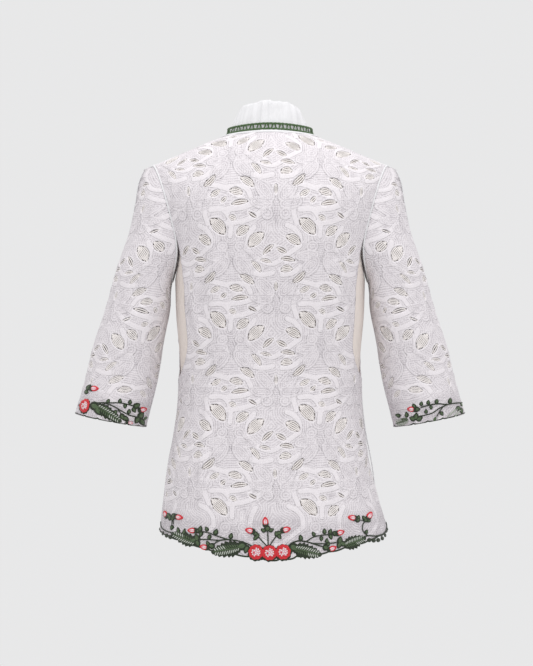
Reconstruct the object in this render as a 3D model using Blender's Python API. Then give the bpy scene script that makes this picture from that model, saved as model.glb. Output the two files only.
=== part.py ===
"""A kebaya blouse of white butterfly lace, worn open at neck, hem and cuffs.

The row frame: +Z is up, the front faces -Y, and the origin is at the height of the neck edge,
on the axis of the neck. Every sheet is worked out on a flat pattern (across, up) and then laid
on the shape of the body or of a sleeve. Lengths are in metres, angles in degrees.
"""

import math
from typing import NamedTuple

import bmesh
import bpy
import numpy as np
from mathutils import Vector
from mathutils.geometry import delaunay_2d_cdt

LACE_WALL = 0.0012
LINING_WALL = 0.0010
LINING_DEPTH = 0.0050  # from the lace's outer face to the lining's, clear of both
LINING_NECK_DEPTH = 0.0020
SEAM = 0.0002  # each edge stands back this far from its seam line
BACK, FRONT = 1, -1

# The body
ROUNDNESS = 2.3  # exponent of the body's cross-section; 2 is an ellipse
YOKE = -0.150  # above this height the cloth turns over the shoulders
SHOULDER_SLOPE = 0.42
SHOULDER_HIGH = 0.0310
SHOULDER_SOFT = 0.020
OVER_MIDDLE, OVER_SLOPE = 0.240, 0.52  # flat length from the yoke to the shoulder seam, and its fall
NECK_HALF = 0.0755
NECK_RISE = 0.005  # the back neck edge is this much higher in its middle than at its sides
SHOULDER_TIP = 0.199
FRONT_NECK_DROP = 0.075
HEM_SIDE = -0.668
HEM_DIP = 0.034  # the hem's middle hangs this much lower than its sides
LINING_SHORT = 0.032  # the lining's hem is this much higher than the lace's
WAIST_STRIP_END = -0.357
STRIP_BACK, STRIP_FRONT = 0.030, 0.010  # lining left bare at the underarm

# The armhole, an oval ring on the body
ARM_TOP, ARM_BOTTOM = -0.0525, -0.250
ARM_HALF_DEPTH = 0.062

# The sleeve
SLEEVE_RADIUS = 0.059
OUTER_LENGTH, INNER_LENGTH = 0.452, 0.250
SLEEVE_GAP = 0.0010


class Section(NamedTuple):
    """The body at one height: half its width, how deep it is, and how far it sways."""

    height: float
    half_width: float
    back: float
    front: float
    sway: float


SECTIONS = (
    Section(-0.740, 0.2060, 0.144, 0.146, -0.0070),
    Section(-0.668, 0.1930, 0.139, 0.141, -0.0060),
    Section(-0.620, 0.1830, 0.134, 0.136, -0.0020),
    Section(-0.560, 0.1715, 0.126, 0.128, 0.0020),
    Section(-0.500, 0.1610, 0.118, 0.118, 0.0010),
    Section(-0.430, 0.1555, 0.110, 0.110, 0.0000),
    Section(-0.370, 0.1585, 0.108, 0.112, 0.0000),
    Section(-0.310, 0.1640, 0.112, 0.121, 0.0000),
    Section(-0.250, 0.1660, 0.117, 0.127, 0.0000),
    Section(-0.200, 0.1680, 0.119, 0.125, 0.0000),
    Section(-0.150, 0.1830, 0.118, 0.119, 0.0000),
    Section(-0.060, 0.2080, 0.116, 0.113, 0.0000),
    Section(0.080, 0.2150, 0.114, 0.108, 0.0000),
)


class Station(NamedTuple):
    """A sleeve's ring: its outermost and innermost points, seen from the back."""

    along: float
    outer_x: float
    outer_z: float
    inner_x: float
    inner_z: float
    half_depth: float


STATIONS = (
    Station(0.00, 0.1995, -0.0525, 0.1660, -0.2500, 0.0620),
    Station(0.06, 0.2120, -0.0730, 0.1685, -0.2640, 0.0615),
    Station(0.16, 0.2240, -0.1130, 0.1700, -0.2890, 0.0610),
    Station(0.30, 0.2420, -0.1730, 0.1750, -0.3240, 0.0600),
    Station(0.50, 0.2690, -0.2590, 0.1840, -0.3730, 0.0580),
    Station(0.75, 0.3010, -0.3660, 0.1960, -0.4340, 0.0570),
    Station(1.00, 0.3300, -0.4720, 0.2090, -0.4950, 0.0580),
)


class Fold(NamedTuple):
    """A soft ridge on the back or front, from one point of the flat pattern to another."""

    side: int
    across_top: float
    top: float
    across_bottom: float
    bottom: float
    rise: float
    width: float


FOLDS = (
    Fold(BACK, -0.072, -0.175, -0.086, -0.350, 0.0050, 0.011),
    Fold(BACK, -0.116, -0.235, -0.134, -0.330, 0.0045, 0.011),
    Fold(BACK, 0.100, -0.180, 0.088, -0.350, 0.0035, 0.013),
    Fold(BACK, 0.136, -0.290, 0.120, -0.350, 0.0035, 0.010),
    Fold(BACK, -0.086, -0.470, -0.094, -0.600, 0.0040, 0.014),
    Fold(BACK, 0.104, -0.470, 0.116, -0.600, 0.0040, 0.014),
    Fold(FRONT, -0.090, -0.235, -0.084, -0.400, 0.0045, 0.012),
    Fold(FRONT, 0.090, -0.235, 0.084, -0.400, 0.0045, 0.012),
    Fold(FRONT, -0.100, -0.490, -0.118, -0.620, 0.0040, 0.015),
    Fold(FRONT, 0.100, -0.490, 0.118, -0.620, 0.0040, 0.015),
)


class Tile(NamedTuple):
    """The lace's repeat: two butterflies, one head up and one head down half a repeat away."""

    width: float
    height: float
    across: float
    up: float


BODY_TILE = Tile(0.148, 0.153, -0.010, -0.283)
SLEEVE_TILE = Tile(0.148, 0.153, 0.040, 0.190)


class Gap(NamedTuple):
    """An opening of the lace's repeat, from the middle of its head-up butterfly."""

    across: float
    up: float
    length: float
    width: float
    angle: float
    bow: float
    corners: int


GAPS = (
    Gap(0.033, -0.054, 0.035, 0.0190, -42, 0.0015, 6),
    Gap(0.055, -0.039, 0.025, 0.0150, -35, 0.0010, 6),
    Gap(-0.028, -0.054, 0.028, 0.0160, 30, 0.0015, 6),
    Gap(-0.051, -0.032, 0.036, 0.0210, 45, 0.0020, 6),
    Gap(0.066, 0.019, 0.024, 0.0120, 12, 0.0015, 4),
    Gap(0.060, 0.003, 0.029, 0.0080, -8, 0.0015, 4),
    Gap(0.048, 0.034, 0.028, 0.0120, 33, 0.0015, 4),
    Gap(0.033, 0.055, 0.025, 0.0090, 50, 0.0015, 4),
    Gap(-0.017, 0.050, 0.021, 0.0120, -8, 0.0020, 4),
    Gap(-0.037, 0.038, 0.028, 0.0110, -42, -0.0015, 4),
    Gap(0.013, -0.070, 0.024, 0.0085, -42, 0.0010, 4),
    Gap(-0.019, 0.066, 0.024, 0.0080, 8, 0.0020, 4),
)
MOST_GAPS = 292
GAP_TO_EDGE = 0.007
BORDER_MIDDLE, BORDER_SIDE = 0.074, 0.052  # no opening is cut this near the hem
BORDER_CENTRE = 0.045  # half the width of the border's high middle
BORDER_CUFF = 0.045
LACE_GRID, LINING_GRID = 0.032, 0.038  # how far apart the inner points of the sheets are


class Patch(NamedTuple):
    """Thick embroidery near an edge: its place along the edge and above it, and its size."""

    along: float
    above: float
    length: float
    width: float
    angle: float
    corners: int


HEM_PATCHES = (
    Patch(0.0000, 0.0110, 0.024, 0.024, 0, 10),
    Patch(0.0235, 0.0105, 0.023, 0.023, 0, 10),
    Patch(0.0000, 0.0600, 0.016, 0.011, 90, 6),
    Patch(0.0290, 0.0420, 0.018, 0.011, 35, 6),
    Patch(0.0640, 0.0120, 0.044, 0.017, 8, 8),
    Patch(0.1090, 0.0100, 0.016, 0.011, 10, 6),
    Patch(0.1360, 0.0310, 0.017, 0.011, 10, 6),
    Patch(0.1530, 0.0110, 0.034, 0.014, 15, 8),
    Patch(0.1700, 0.0440, 0.016, 0.011, 60, 6),
)
CUFF_PATCHES = (
    Patch(0.0000, 0.0130, 0.024, 0.024, 0, 10),
    Patch(0.0400, 0.0100, 0.036, 0.014, 8, 8),
    Patch(0.0830, 0.0120, 0.016, 0.011, 20, 6),
    Patch(0.1120, 0.0240, 0.016, 0.011, 10, 6),
)
PATCH_RISE = 0.0010
PATCH_EDGE = 0.0012
CUFF_CENTRE = 0.030  # where a cuff's rosette sits round the sleeve, from its outer line


class Scallop(NamedTuple):
    """A bump of an edge: its place along the edge, its half length, and how far it hangs."""

    along: float
    half: float
    drop: float


HEM_SCALLOPS = (
    Scallop(0.0000, 0.0120, 0.0060),
    Scallop(0.0240, 0.0120, 0.0055),
    Scallop(0.0500, 0.0140, 0.0040),
    Scallop(0.0770, 0.0130, 0.0050),
    Scallop(0.1030, 0.0130, 0.0045),
    Scallop(0.1290, 0.0130, 0.0035),
    Scallop(0.1550, 0.0130, 0.0045),
    Scallop(0.1810, 0.0130, 0.0035),
    Scallop(0.2070, 0.0130, 0.0040),
    Scallop(0.2330, 0.0130, 0.0035),
    Scallop(0.2590, 0.0130, 0.0040),
)
SCALLOP_STEPS = 4
CUFF_SCALLOPS = 15
CUFF_SCALLOP_DROP = 0.0035

# The neck
RING_STEPS = 56
BINDING_START, BINDING_HIGH, BINDING_WALL = 0.0012, 0.0080, 0.0009
BINDING_LIFT = 0.0006  # clear of the lace under it
BINDING_OFF_SEAM = 0.0006
TRIM_LOW, TRIM_HIGH, TRIM_WALL = 0.0006, 0.0120, 0.0010
COLLAR_HIGH, COLLAR_FRONT_HIGH = 0.054, 0.022
COLLAR_WALL = 0.0012
COLLAR_IN = 0.0032
COLLAR_LEAN = 0.30  # how far it leans in for each metre up
COLLAR_GATHERS = 28
GATHER_RISE = 0.0011
COLLAR_LEVELS = ((0.0, 1.0), (0.45, 0.96), (1.0, 1.5))  # share of the height, share of the gather
COLLAR_WAVE = 0.0012  # how far its top edge waves
TRIM_LEAN = 0.24
END_GAP = 0.0030  # each neck piece ends this far from the centre front


def smooth(x, xs, ys):
    """A smooth curve through the rows (xs, ys), read at x."""
    xs = np.asarray(xs, float)
    ys = np.asarray(ys, float)
    slope = np.gradient(ys, xs)
    x = np.clip(x, xs[0], xs[-1])
    i = np.clip(np.searchsorted(xs, x, side="right") - 1, 0, len(xs) - 2)
    step = xs[i + 1] - xs[i]
    t = (x - xs[i]) / step
    rise = ys[i] * (1 + 2 * t) * (1 - t) ** 2 + ys[i + 1] * t**2 * (3 - 2 * t)
    return rise + step * (slope[i] * t * (1 - t) ** 2 - slope[i + 1] * t**2 * (1 - t))


def column(rows, name):
    """One named column of a table."""
    return [getattr(row, name) for row in rows]


def section_at(height, name):
    """One measure of the body at a height."""
    return smooth(height, column(SECTIONS, "height"), column(SECTIONS, name))


def depth_name(side):
    """The column of a section that holds the depth of a side."""
    return "back" if side == BACK else "front"


def section_curve(height, side, samples=161):
    """A quarter of the body's outline at a height, from its middle to its side: x, y, length."""
    turn = np.linspace(0, math.pi / 2, samples)
    half = section_at(height, "half_width")[..., None]
    deep = section_at(height, depth_name(side))[..., None]
    x = half * np.sin(turn) ** (2 / ROUNDNESS)
    y = deep * np.abs(np.cos(turn)) ** (2 / ROUNDNESS)
    run = np.hypot(np.diff(x, axis=-1), np.diff(y, axis=-1))
    length = np.concatenate([np.zeros_like(x[..., :1]), np.cumsum(run, axis=-1)], axis=-1)
    return x, y, length


def read_curve(curve, values, wanted):
    """Reads values along each row of a rising curve at the wanted place."""
    i = np.clip((curve < wanted[:, None]).sum(1), 1, curve.shape[1] - 1)
    row = np.arange(len(wanted))
    low, high = curve[row, i - 1], curve[row, i]
    t = np.clip((wanted - low) / np.maximum(high - low, 1e-12), 0, 1)
    return values[row, i - 1] * (1 - t) + values[row, i] * t


def shoulder_height(x):
    """How high the shoulder seam is at x."""
    return SHOULDER_HIGH - SHOULDER_SLOPE * np.sqrt(x**2 + SHOULDER_SOFT**2)


def over_length(x):
    """How far the cloth runs from the yoke height up to the shoulder seam, at x."""
    return OVER_MIDDLE - OVER_SLOPE * np.sqrt(x**2 + SHOULDER_SOFT**2)


def fold_rise(w, h, side):
    """How far the folds lift the cloth at a point of the flat pattern."""
    rise = np.zeros_like(w)
    for fold in FOLDS:
        if fold.side != side:
            continue
        span = fold.top - fold.bottom
        t = np.clip((h - fold.bottom) / span, -0.3, 1.3)
        middle = fold.across_bottom + (fold.across_top - fold.across_bottom) * t
        ends = np.clip((0.3 + t) / 0.4, 0, 1) * np.clip((1.3 - t) / 0.4, 0, 1)
        rise += fold.rise * ends * np.exp(-(((w - middle) / fold.width) ** 2))
    return rise


def body_base(w, h, side):
    """The body's shape without folds: a point for each (across, up) of the flat pattern."""
    x, y, length = section_curve(h, side)
    reach = np.abs(w)
    px = read_curve(length, x, reach)
    py = read_curve(length, y, reach)
    lift = np.clip((h - YOKE) / over_length(px), 0, 1) * math.pi / 2
    z = np.where(h <= YOKE, h, YOKE + (shoulder_height(px) - YOKE) * np.sin(lift))
    px = np.sign(w) * px + section_at(h, "sway")
    return np.stack([px, side * py * np.cos(lift), z], axis=-1)


def normals_of(shape, w, h, outwards):
    """Unit normals of a shape that is given as a function of two flat coordinates."""
    e = 2e-4
    across = shape(w + e, h) - shape(w - e, h)
    up = shape(w, h + e) - shape(w, h - e)
    n = np.cross(across, up) * outwards
    return n / np.maximum(np.linalg.norm(n, axis=1, keepdims=True), 1e-12)


def body_surface(side, folds=True):
    """A function that gives points and outward normals for flat points of a side of the body."""

    def base(w, h):
        return body_base(w, h, side)

    def folded(w, h):
        return base(w, h) + normals_of(base, w, h, -side) * fold_rise(w, h, side)[:, None]

    shape = folded if folds else base

    def at(w, h):
        return shape(w, h), normals_of(shape, w, h, -side)

    return at


def quarter_width(h, side):
    """The flat distance from the middle of the back or front to the side seam."""
    return section_curve(np.atleast_1d(h), side)[2][:, -1]


def arm_ring(turn, side):
    """The armhole at an angle from its top (0) to its bottom (pi), as a point (w, h) of the pattern."""
    mid = (ARM_TOP + ARM_BOTTOM) / 2
    z = mid + (ARM_TOP - ARM_BOTTOM) / 2 * math.cos(turn)
    y = ARM_HALF_DEPTH * math.sin(turn)
    low, high = 0.10, 0.235
    for _ in range(50):
        x = (low + high) / 2
        h, deep = z, 0.0
        if z > YOKE:
            lift = math.asin(min((z - YOKE) / max(float(shoulder_height(x)) - YOKE, 1e-6), 1.0))
            h = YOKE + float(over_length(x)) * lift * 2 / math.pi
            deep = math.cos(lift)
        else:
            deep = 1.0
        ratio = min(x / float(section_at(h, "half_width")), 1.0)
        deep *= float(section_at(h, depth_name(side))) * (1 - ratio**ROUNDNESS) ** (1 / ROUNDNESS)
        if deep > y:
            low = x
        else:
            high = x
    curve_x, _, length = section_curve(np.array([h]), side)
    return float(np.interp(x, curve_x[0], length[0])), h


def arm_edge(side, steps):
    """The armhole's edge on the flat pattern, from the shoulder tip to the underarm."""
    turns = np.linspace(0, math.pi, steps + 1)
    return [arm_ring(turn, side) for turn in turns]


def neck_height(x, side):
    """How high the neck edge is at x."""
    seam = float(shoulder_height(NECK_HALF))
    away = abs(x) / NECK_HALF
    if side == BACK:
        return seam + NECK_RISE * (1 - away**2)
    return seam - FRONT_NECK_DROP * (1 - away**1.7)


def neck_point(x, side):
    """The neck edge at x, as a point (w, h) of the pattern."""
    level = (neck_height(x, side) - YOKE) / (float(shoulder_height(x)) - YOKE)
    lift = math.asin(min(level, 1.0))
    h = YOKE + float(over_length(x)) * lift * 2 / math.pi
    curve_x, _, length = section_curve(np.array([h]), side)
    return float(np.interp(abs(x), curve_x[0], length[0])) * (1 if x >= 0 else -1), h


def neck_edge(side, steps):
    """Half of the neck edge, from the neck's side to its middle."""
    turns = np.linspace(0, math.pi / 2, steps + 1)
    return [neck_point(NECK_HALF * math.cos(turn), side) for turn in turns]


def hem_height(w, half):
    """The hem's smooth line: lowest in the middle."""
    return HEM_SIDE - HEM_DIP * math.cos(min(abs(w) / half, 1.0) * math.pi / 2) ** 2


def strip_width(h, strip):
    """How much of the side the lace leaves bare at a height."""
    t = np.clip((h - WAIST_STRIP_END) / (ARM_BOTTOM - WAIST_STRIP_END), 0, 1)
    return strip * t * (2 - t)


def scallop_edge(rows, steps, last):
    """Points (along, drop) of a scalloped edge, up to its last place."""
    points = []
    for row in rows:
        for k in range(steps):
            turn = math.pi * k / steps
            along = row.along - row.half * math.cos(turn)
            if -1e-9 < along < last - 0.004:
                points.append((max(along, 0.0), row.drop * math.sin(turn)))
    return points


def half_outline(side, lace):
    """The pattern of half a back or front, from the middle of the hem round to the neck's middle."""
    widest = float(quarter_width(HEM_SIDE, side)[0])
    strip = (STRIP_BACK if side == BACK else STRIP_FRONT) if lace else 0.0

    def side_edge(h):
        return float(quarter_width(h, side)[0] - strip_width(h, strip)) - SEAM

    arm = arm_edge(side, 16)
    arm = [(w - SEAM, h) for w, h in arm if w < side_edge(h) - 0.004 or h > -0.2]
    points = []
    if lace:
        for along, drop in scallop_edge(HEM_SCALLOPS, SCALLOP_STEPS, widest):
            points.append((along, hem_height(along, widest) - drop))
    else:
        for along in np.linspace(0, widest - 0.02, 12):
            points.append((along, hem_height(along, widest) + LINING_SHORT))
    rows = [h for h in np.arange(HEM_SIDE, ARM_BOTTOM - 0.004, 0.0278) if h < arm[-1][1] - 0.006]
    if not lace:
        rows = [h for h in rows if h > HEM_SIDE + LINING_SHORT + 0.01]
        rows = [HEM_SIDE + LINING_SHORT] + rows
    points += [(side_edge(h), h) for h in rows]
    points += arm[::-1][:-1]
    curve = np.linspace(SHOULDER_TIP - 0.0006, NECK_HALF, 7)
    for x in curve[:-1]:
        h = YOKE + float(over_length(x))
        xs, _, length = section_curve(np.array([h]), side)
        points.append((float(np.interp(x, xs[0], length[0])), h - SEAM))
    points += [(w, h - SEAM) for w, h in neck_edge(side, 10)]
    return points


def whole(half):
    """A pattern that is cut on the fold: the half and its mirror, anticlockwise."""
    half = [(max(w, 0.0), h) for w, h in half]
    mirrored = [(-w, h) for w, h in reversed(half) if w > 1e-6]
    return half + mirrored


def front_outline(half, hand):
    """One front's pattern; its straight edge stands a little off the centre line."""
    points = [(max(w, SEAM), h) for w, h in half]
    top, bottom = points[-1][1], points[0][1]
    count = round((top - bottom) / 0.028)
    points += [(SEAM, top + (bottom - top) * k / count) for k in range(1, count)]
    return points if hand > 0 else [(-w, h) for w, h in reversed(points)]


def inside(points, loop):
    """Which points lie inside a closed loop."""
    points, loop = np.asarray(points, float), np.asarray(loop, float)
    found = np.zeros(len(points), bool)
    for a, b in zip(loop, np.roll(loop, -1, axis=0)):
        crosses = (a[1] > points[:, 1]) != (b[1] > points[:, 1])
        slant = (b[0] - a[0]) * (points[:, 1] - a[1]) / ((b[1] - a[1]) or 1e-12) + a[0]
        found ^= crosses & (points[:, 0] < slant)
    return found


def edge_distance(points, loop):
    """How far each point is from a closed loop."""
    points, loop = np.asarray(points, float), np.asarray(loop, float)
    best = np.full(len(points), np.inf)
    for a, b in zip(loop, np.roll(loop, -1, axis=0)):
        d = b - a
        t = np.clip((points - a) @ d / max(d @ d, 1e-15), 0, 1)
        best = np.minimum(best, np.linalg.norm(points - a - t[:, None] * d, axis=1))
    return best


def leaf_loop(length, width, bow, corners):
    """A leaf or lens with two tips, anticlockwise: its corners before it is turned and placed."""
    per_side = (corners - 2) // 2
    spots = [(k + 1) / (per_side + 1) for k in range(per_side)]
    lower = [(-length / 2 + length * s, -width / 2 * math.sin(math.pi * s) ** 0.6) for s in spots]
    upper = [(-x, -y) for x, y in lower]
    loop = [(-length / 2, 0.0), *lower, (length / 2, 0.0), *upper]
    return [(x, y + bow * (1 - (2 * x / length) ** 2)) for x, y in loop]


def round_loop(size, corners):
    """A round patch's corners."""
    turns = [2 * math.pi * k / corners for k in range(corners)]
    return [(size / 2 * math.cos(t), size / 2 * math.sin(t)) for t in turns]


def placed(loop, angle, x, y, mirror=1):
    """A loop turned, moved, and mirrored for the other side."""
    c, s = math.cos(math.radians(angle)), math.sin(math.radians(angle))
    moved = [((c * a - s * b + x) * mirror, s * a + c * b + y) for a, b in loop]
    return moved if mirror > 0 else moved[::-1]


def lace_gaps(tile, low, high):
    """Every opening of the lace between two corners of the pattern, the largest first."""
    gaps = []
    first = math.floor((low[0] - tile.across) / tile.width) - 1
    last = math.ceil((high[0] - tile.across) / tile.width) + 1
    under = math.floor((low[1] - tile.up) / tile.height) - 1
    over = math.ceil((high[1] - tile.up) / tile.height) + 1
    for gap in GAPS:
        base = placed(leaf_loop(gap.length, gap.width, gap.bow, gap.corners), gap.angle, gap.across, gap.up)
        for i in range(first, last):
            for j in range(under, over):
                x, y = tile.across + i * tile.width, tile.up + j * tile.height
                gaps.append((gap, [(a + x, b + y) for a, b in base]))
    return gaps


def clear_gaps(gaps, outline, keep_off):
    """The openings that lie inside an outline, away from its edge and from the embroidery."""
    kept = []
    for gap, loop in gaps:
        if not inside(loop, outline).all() or edge_distance(loop, outline).min() < GAP_TO_EDGE:
            continue
        if all(keep_off(a, b) for a, b in loop):
            kept.append((gap, loop))
    return kept


def grid_points(outline, loops, spacing, margin):
    """Points spread inside an outline, clear of its edge and of every loop in it."""
    outline = np.asarray(outline)
    low, high = outline.min(0), outline.max(0)
    rows = np.arange(low[1] + spacing / 2, high[1], spacing * 0.87)
    points = []
    for k, y in enumerate(rows):
        shift = spacing / 2 * (k % 2)
        points += [(x + shift, y) for x in np.arange(low[0] + spacing / 4, high[0], spacing)]
    points = np.array(points)
    keep = inside(points, outline) & (edge_distance(points, outline) > margin)
    for loop in loops:
        keep &= ~inside(points, loop) & (edge_distance(points, loop) > margin)
    return points[keep]


def cut_sheet(outline, holes, patches, spacing):
    """Triangles of a flat pattern with openings: points, triangles, and how far each point rises."""
    loops, rises = [list(outline)], [0.0]
    for hole in holes:
        loops.append(hole)
        rises.append(0.0)
    for foot, top, rise in patches:
        loops += [foot, top]
        rises += [0.0, rise]
    points, edges, rise_of = [], [], []
    for loop, rise in zip(loops, rises):
        start = len(points)
        points += loop
        rise_of += [rise] * len(loop)
        edges += [(start + k, start + (k + 1) % len(loop)) for k in range(len(loop))]
    extra = grid_points(outline, loops[1:], spacing, spacing * 0.42)
    points += [tuple(p) for p in extra]
    rise_of += [0.0] * len(extra)
    found = delaunay_2d_cdt([Vector(p) for p in points], edges, [], 0, 1e-7)
    flat = np.array([tuple(v) for v in found[0]])
    rise = np.array([max((rise_of[i] for i in old), default=0.0) for old in found[3]])
    faces = np.array([tuple(f) for f in found[2]])
    middle = flat[faces].mean(1)
    keep = inside(middle, outline)
    for hole in holes:
        keep &= ~inside(middle, hole)
    return flat, faces[keep], rise


def closed_wall(outer, inner, faces):
    """The faces of a wall between two sheets with the same triangles, with its rims."""
    count = len(outer)
    pairs = {}
    for a, b, c in faces:
        for edge in ((a, b), (b, c), (c, a)):
            pairs[edge] = pairs.get(edge, 0) + 1
    rim = [(a, b) for a, b in pairs if (b, a) not in pairs]
    solid = [tuple(f) for f in faces]
    solid += [(c + count, b + count, a + count) for a, b, c in faces]
    solid += [(b, a, a + count, b + count) for a, b in rim]
    return np.concatenate([outer, inner]), solid


def material(name, colour, roughness):
    """A plain Principled finish."""
    made = bpy.data.materials.get(name) or bpy.data.materials.new(name)
    made.use_nodes = True
    shader = made.node_tree.nodes["Principled BSDF"]
    shader.inputs["Base Color"].default_value = (*colour, 1.0)
    shader.inputs["Roughness"].default_value = roughness
    return made


def add_object(name, points, faces, finish, collection):
    """A mesh object, with unused points dropped."""
    mesh = bpy.data.meshes.new(name)
    mesh.from_pydata([tuple(p) for p in points], [], [tuple(int(i) for i in f) for f in faces])
    made = bmesh.new()
    made.from_mesh(mesh)
    loose = [v for v in made.verts if not v.link_faces]
    bmesh.ops.delete(made, geom=loose, context="VERTS")
    bmesh.ops.triangulate(made, faces=made.faces[:])
    made.to_mesh(mesh)
    made.free()
    mesh.materials.append(finish)
    thing = bpy.data.objects.new(name, mesh)
    collection.objects.link(thing)
    return thing


def add_sheet(name, at, turned, sheet, wall, depth, finish, collection):
    """A cloth wall laid on a surface: at gives points and normals, depth is how far in it lies."""
    flat, faces, rise = sheet
    points, normals = at(flat[:, 0], flat[:, 1])
    inset = depth(flat[:, 0], flat[:, 1])[:, None]
    outer = points - normals * (inset - rise[:, None])
    inner = points - normals * (inset + wall)
    if turned:
        faces = faces[:, ::-1]
    solid_points, solid_faces = closed_wall(outer, inner, faces)
    return add_object(name, solid_points, solid_faces, finish, collection)


def sleeve_length(turn):
    """How long a sleeve is from cuff to armhole, at an angle round it from its outer line."""
    middle = (OUTER_LENGTH + INNER_LENGTH) / 2
    return middle + (OUTER_LENGTH - INNER_LENGTH) / 2 * np.cos(turn)


def ring_table(side, steps=60):
    """The armhole in space: its angles and its points on the body."""
    turns = np.linspace(0, math.pi, steps + 1)
    spots = np.array([arm_ring(turn, side) for turn in turns])
    return turns, body_base(spots[:, 0], spots[:, 1], side)


def sleeve_plane(turn, along):
    """A sleeve's shape from its stations alone."""
    rows = column(STATIONS, "along")

    def row(name):
        return smooth(along, rows, column(STATIONS, name))

    outer = np.stack([row("outer_x"), np.zeros_like(along), row("outer_z")], axis=-1)
    inner = np.stack([row("inner_x"), np.zeros_like(along), row("inner_z")], axis=-1)
    across = np.cos(turn)[:, None]
    deep = (row("half_depth") * np.sin(turn))[:, None]
    return (outer + inner) / 2 + (outer - inner) / 2 * across + deep * np.array([0.0, 1.0, 0.0])


def sleeve_surface(hand, rings):
    """Points and outward normals for flat points (round, up from the cuff) of a sleeve."""

    def shape(u, v):
        turn = u / SLEEVE_RADIUS
        along = np.clip(1 - v / sleeve_length(turn), -0.02, 1.05)
        start = np.zeros_like(along)
        points = sleeve_plane(turn, along)
        ring = np.empty_like(points)
        for side in (BACK, FRONT):
            turns, table = rings[side]
            mine = (turn >= 0) == (side == BACK)
            for axis in range(3):
                ring[mine, axis] = np.interp(np.abs(turn[mine]), turns, table[:, axis])
        ring[:, 0] += SLEEVE_GAP
        fade = np.clip(1 - along / 0.34, 0, 1) ** 2
        points = points + (ring - sleeve_plane(turn, start)) * fade[:, None]
        wave = 0.0016 * np.sin(v * 46 + 2.2 * np.cos(turn)) * np.clip(along * 4, 0, 1)
        points[:, 0] += wave * np.cos(turn) * 0.7
        points[:, 1] += wave * np.sin(turn)
        return points * np.array([hand, 1.0, 1.0])

    def at(u, v):
        normals = normals_of(shape, u, v, hand)
        seam = np.minimum(np.abs(u), math.pi * SLEEVE_RADIUS - np.abs(u))
        normals[:, 1] *= np.clip(seam / 0.010, 0, 1)
        return shape(u, v), normals / np.linalg.norm(normals, axis=1, keepdims=True)

    return at


def cuff_drop(u):
    """How far the cuff's scalloped edge hangs at u."""
    return CUFF_SCALLOP_DROP * abs(math.sin(u / SLEEVE_RADIUS * CUFF_SCALLOPS / 2))


def sleeve_outline(side):
    """The pattern of a sleeve's back or front half, anticlockwise."""
    half = math.pi * SLEEVE_RADIUS - SEAM
    steps = 30
    us = [SEAM + (half - SEAM) * k / steps for k in range(steps + 1)]
    bottom = [(u, -cuff_drop(u)) for u in us]
    under = [(half, v) for v in np.linspace(0.03, INNER_LENGTH - 0.03, 8)]
    cap = [(u, float(sleeve_length(u / SLEEVE_RADIUS)) - SEAM) for u in us[::-2]]
    over = [(SEAM, v) for v in np.linspace(OUTER_LENGTH - 0.03, 0.03, 14)]
    loop = bottom + under + cap + over
    return loop if side == BACK else [(-u, v) for u, v in reversed(loop)]


def patch_loops(patch, x, y, mirror):
    """The foot and top of a raised patch whose middle is at (x, y)."""
    edge = PATCH_EDGE * 2
    if patch.corners > 8:
        foot, top = round_loop(patch.length, patch.corners), round_loop(patch.length - edge, patch.corners)
    else:
        foot = leaf_loop(patch.length, patch.width, 0, patch.corners)
        top = leaf_loop(patch.length - 1.6 * edge, patch.width - edge, 0, patch.corners)
    foot = placed(foot, patch.angle, 0, 0, mirror)
    top = placed(top, patch.angle, 0, 0, mirror)
    return [(a + x, b + y) for a, b in foot], [(a + x, b + y) for a, b in top], PATCH_RISE


def hem_patches(outline, widest):
    """The raised patches along the hem that lie whole inside a pattern."""
    made = []
    for patch in HEM_PATCHES:
        for mirror in (1, -1) if patch.along else (1,):
            x = patch.along * mirror
            loops = patch_loops(patch, x, hem_height(x, widest) + patch.above - 0.004, mirror)
            if inside(loops[0], outline).all() and edge_distance(loops[0], outline).min() > 0.0012:
                made.append(loops)
    return made


def cuff_patches(outline):
    """The raised patches along a cuff that lie whole inside a pattern."""
    made = []
    for patch in CUFF_PATCHES:
        for mirror in (1, -1) if patch.along else (1,):
            for centre in (CUFF_CENTRE, -math.pi * SLEEVE_RADIUS + CUFF_CENTRE):
                loops = patch_loops(patch, centre + patch.along * mirror, patch.above, mirror)
                if inside(loops[0], outline).all() and edge_distance(loops[0], outline).min() > 0.0012:
                    made.append(loops)
    return made


def neck_ring():
    """The neck edge in space from the right front round the back to the left front."""
    half = []
    steps = RING_STEPS // 4
    for side, edge in ((FRONT, neck_edge(FRONT, steps)[::-1]), (BACK, neck_edge(BACK, steps)[1:])):
        spots = np.array(edge)
        half.append(body_base(spots[:, 0], spots[:, 1], side))
    half = np.concatenate(half)
    mirrored = half[:-1] * np.array([-1.0, 1.0, 1.0])
    return np.concatenate([mirrored, half[::-1]])


def dense_ring(ring, count):
    """The ring read at evenly spaced places, short of the centre front at both ends."""
    run = np.concatenate([[0], np.cumsum(np.linalg.norm(np.diff(ring, axis=0), axis=1))])
    places = np.linspace(END_GAP, run[-1] - END_GAP, count)
    points = np.stack([np.interp(places, run, ring[:, k]) for k in range(3)], axis=-1)
    for _ in range(2):
        points[1:-1] = (points[:-2] + 2 * points[1:-1] + points[2:]) / 4
    tangent = np.gradient(points, axis=0)
    tangent /= np.linalg.norm(tangent, axis=1, keepdims=True)
    up = np.array([0.0, 0.0, 1.0]) - tangent * tangent[:, 2:3]
    up /= np.linalg.norm(up, axis=1, keepdims=True)
    out = np.cross(up, tangent)
    return points, up, out, places / run[-1]


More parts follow.
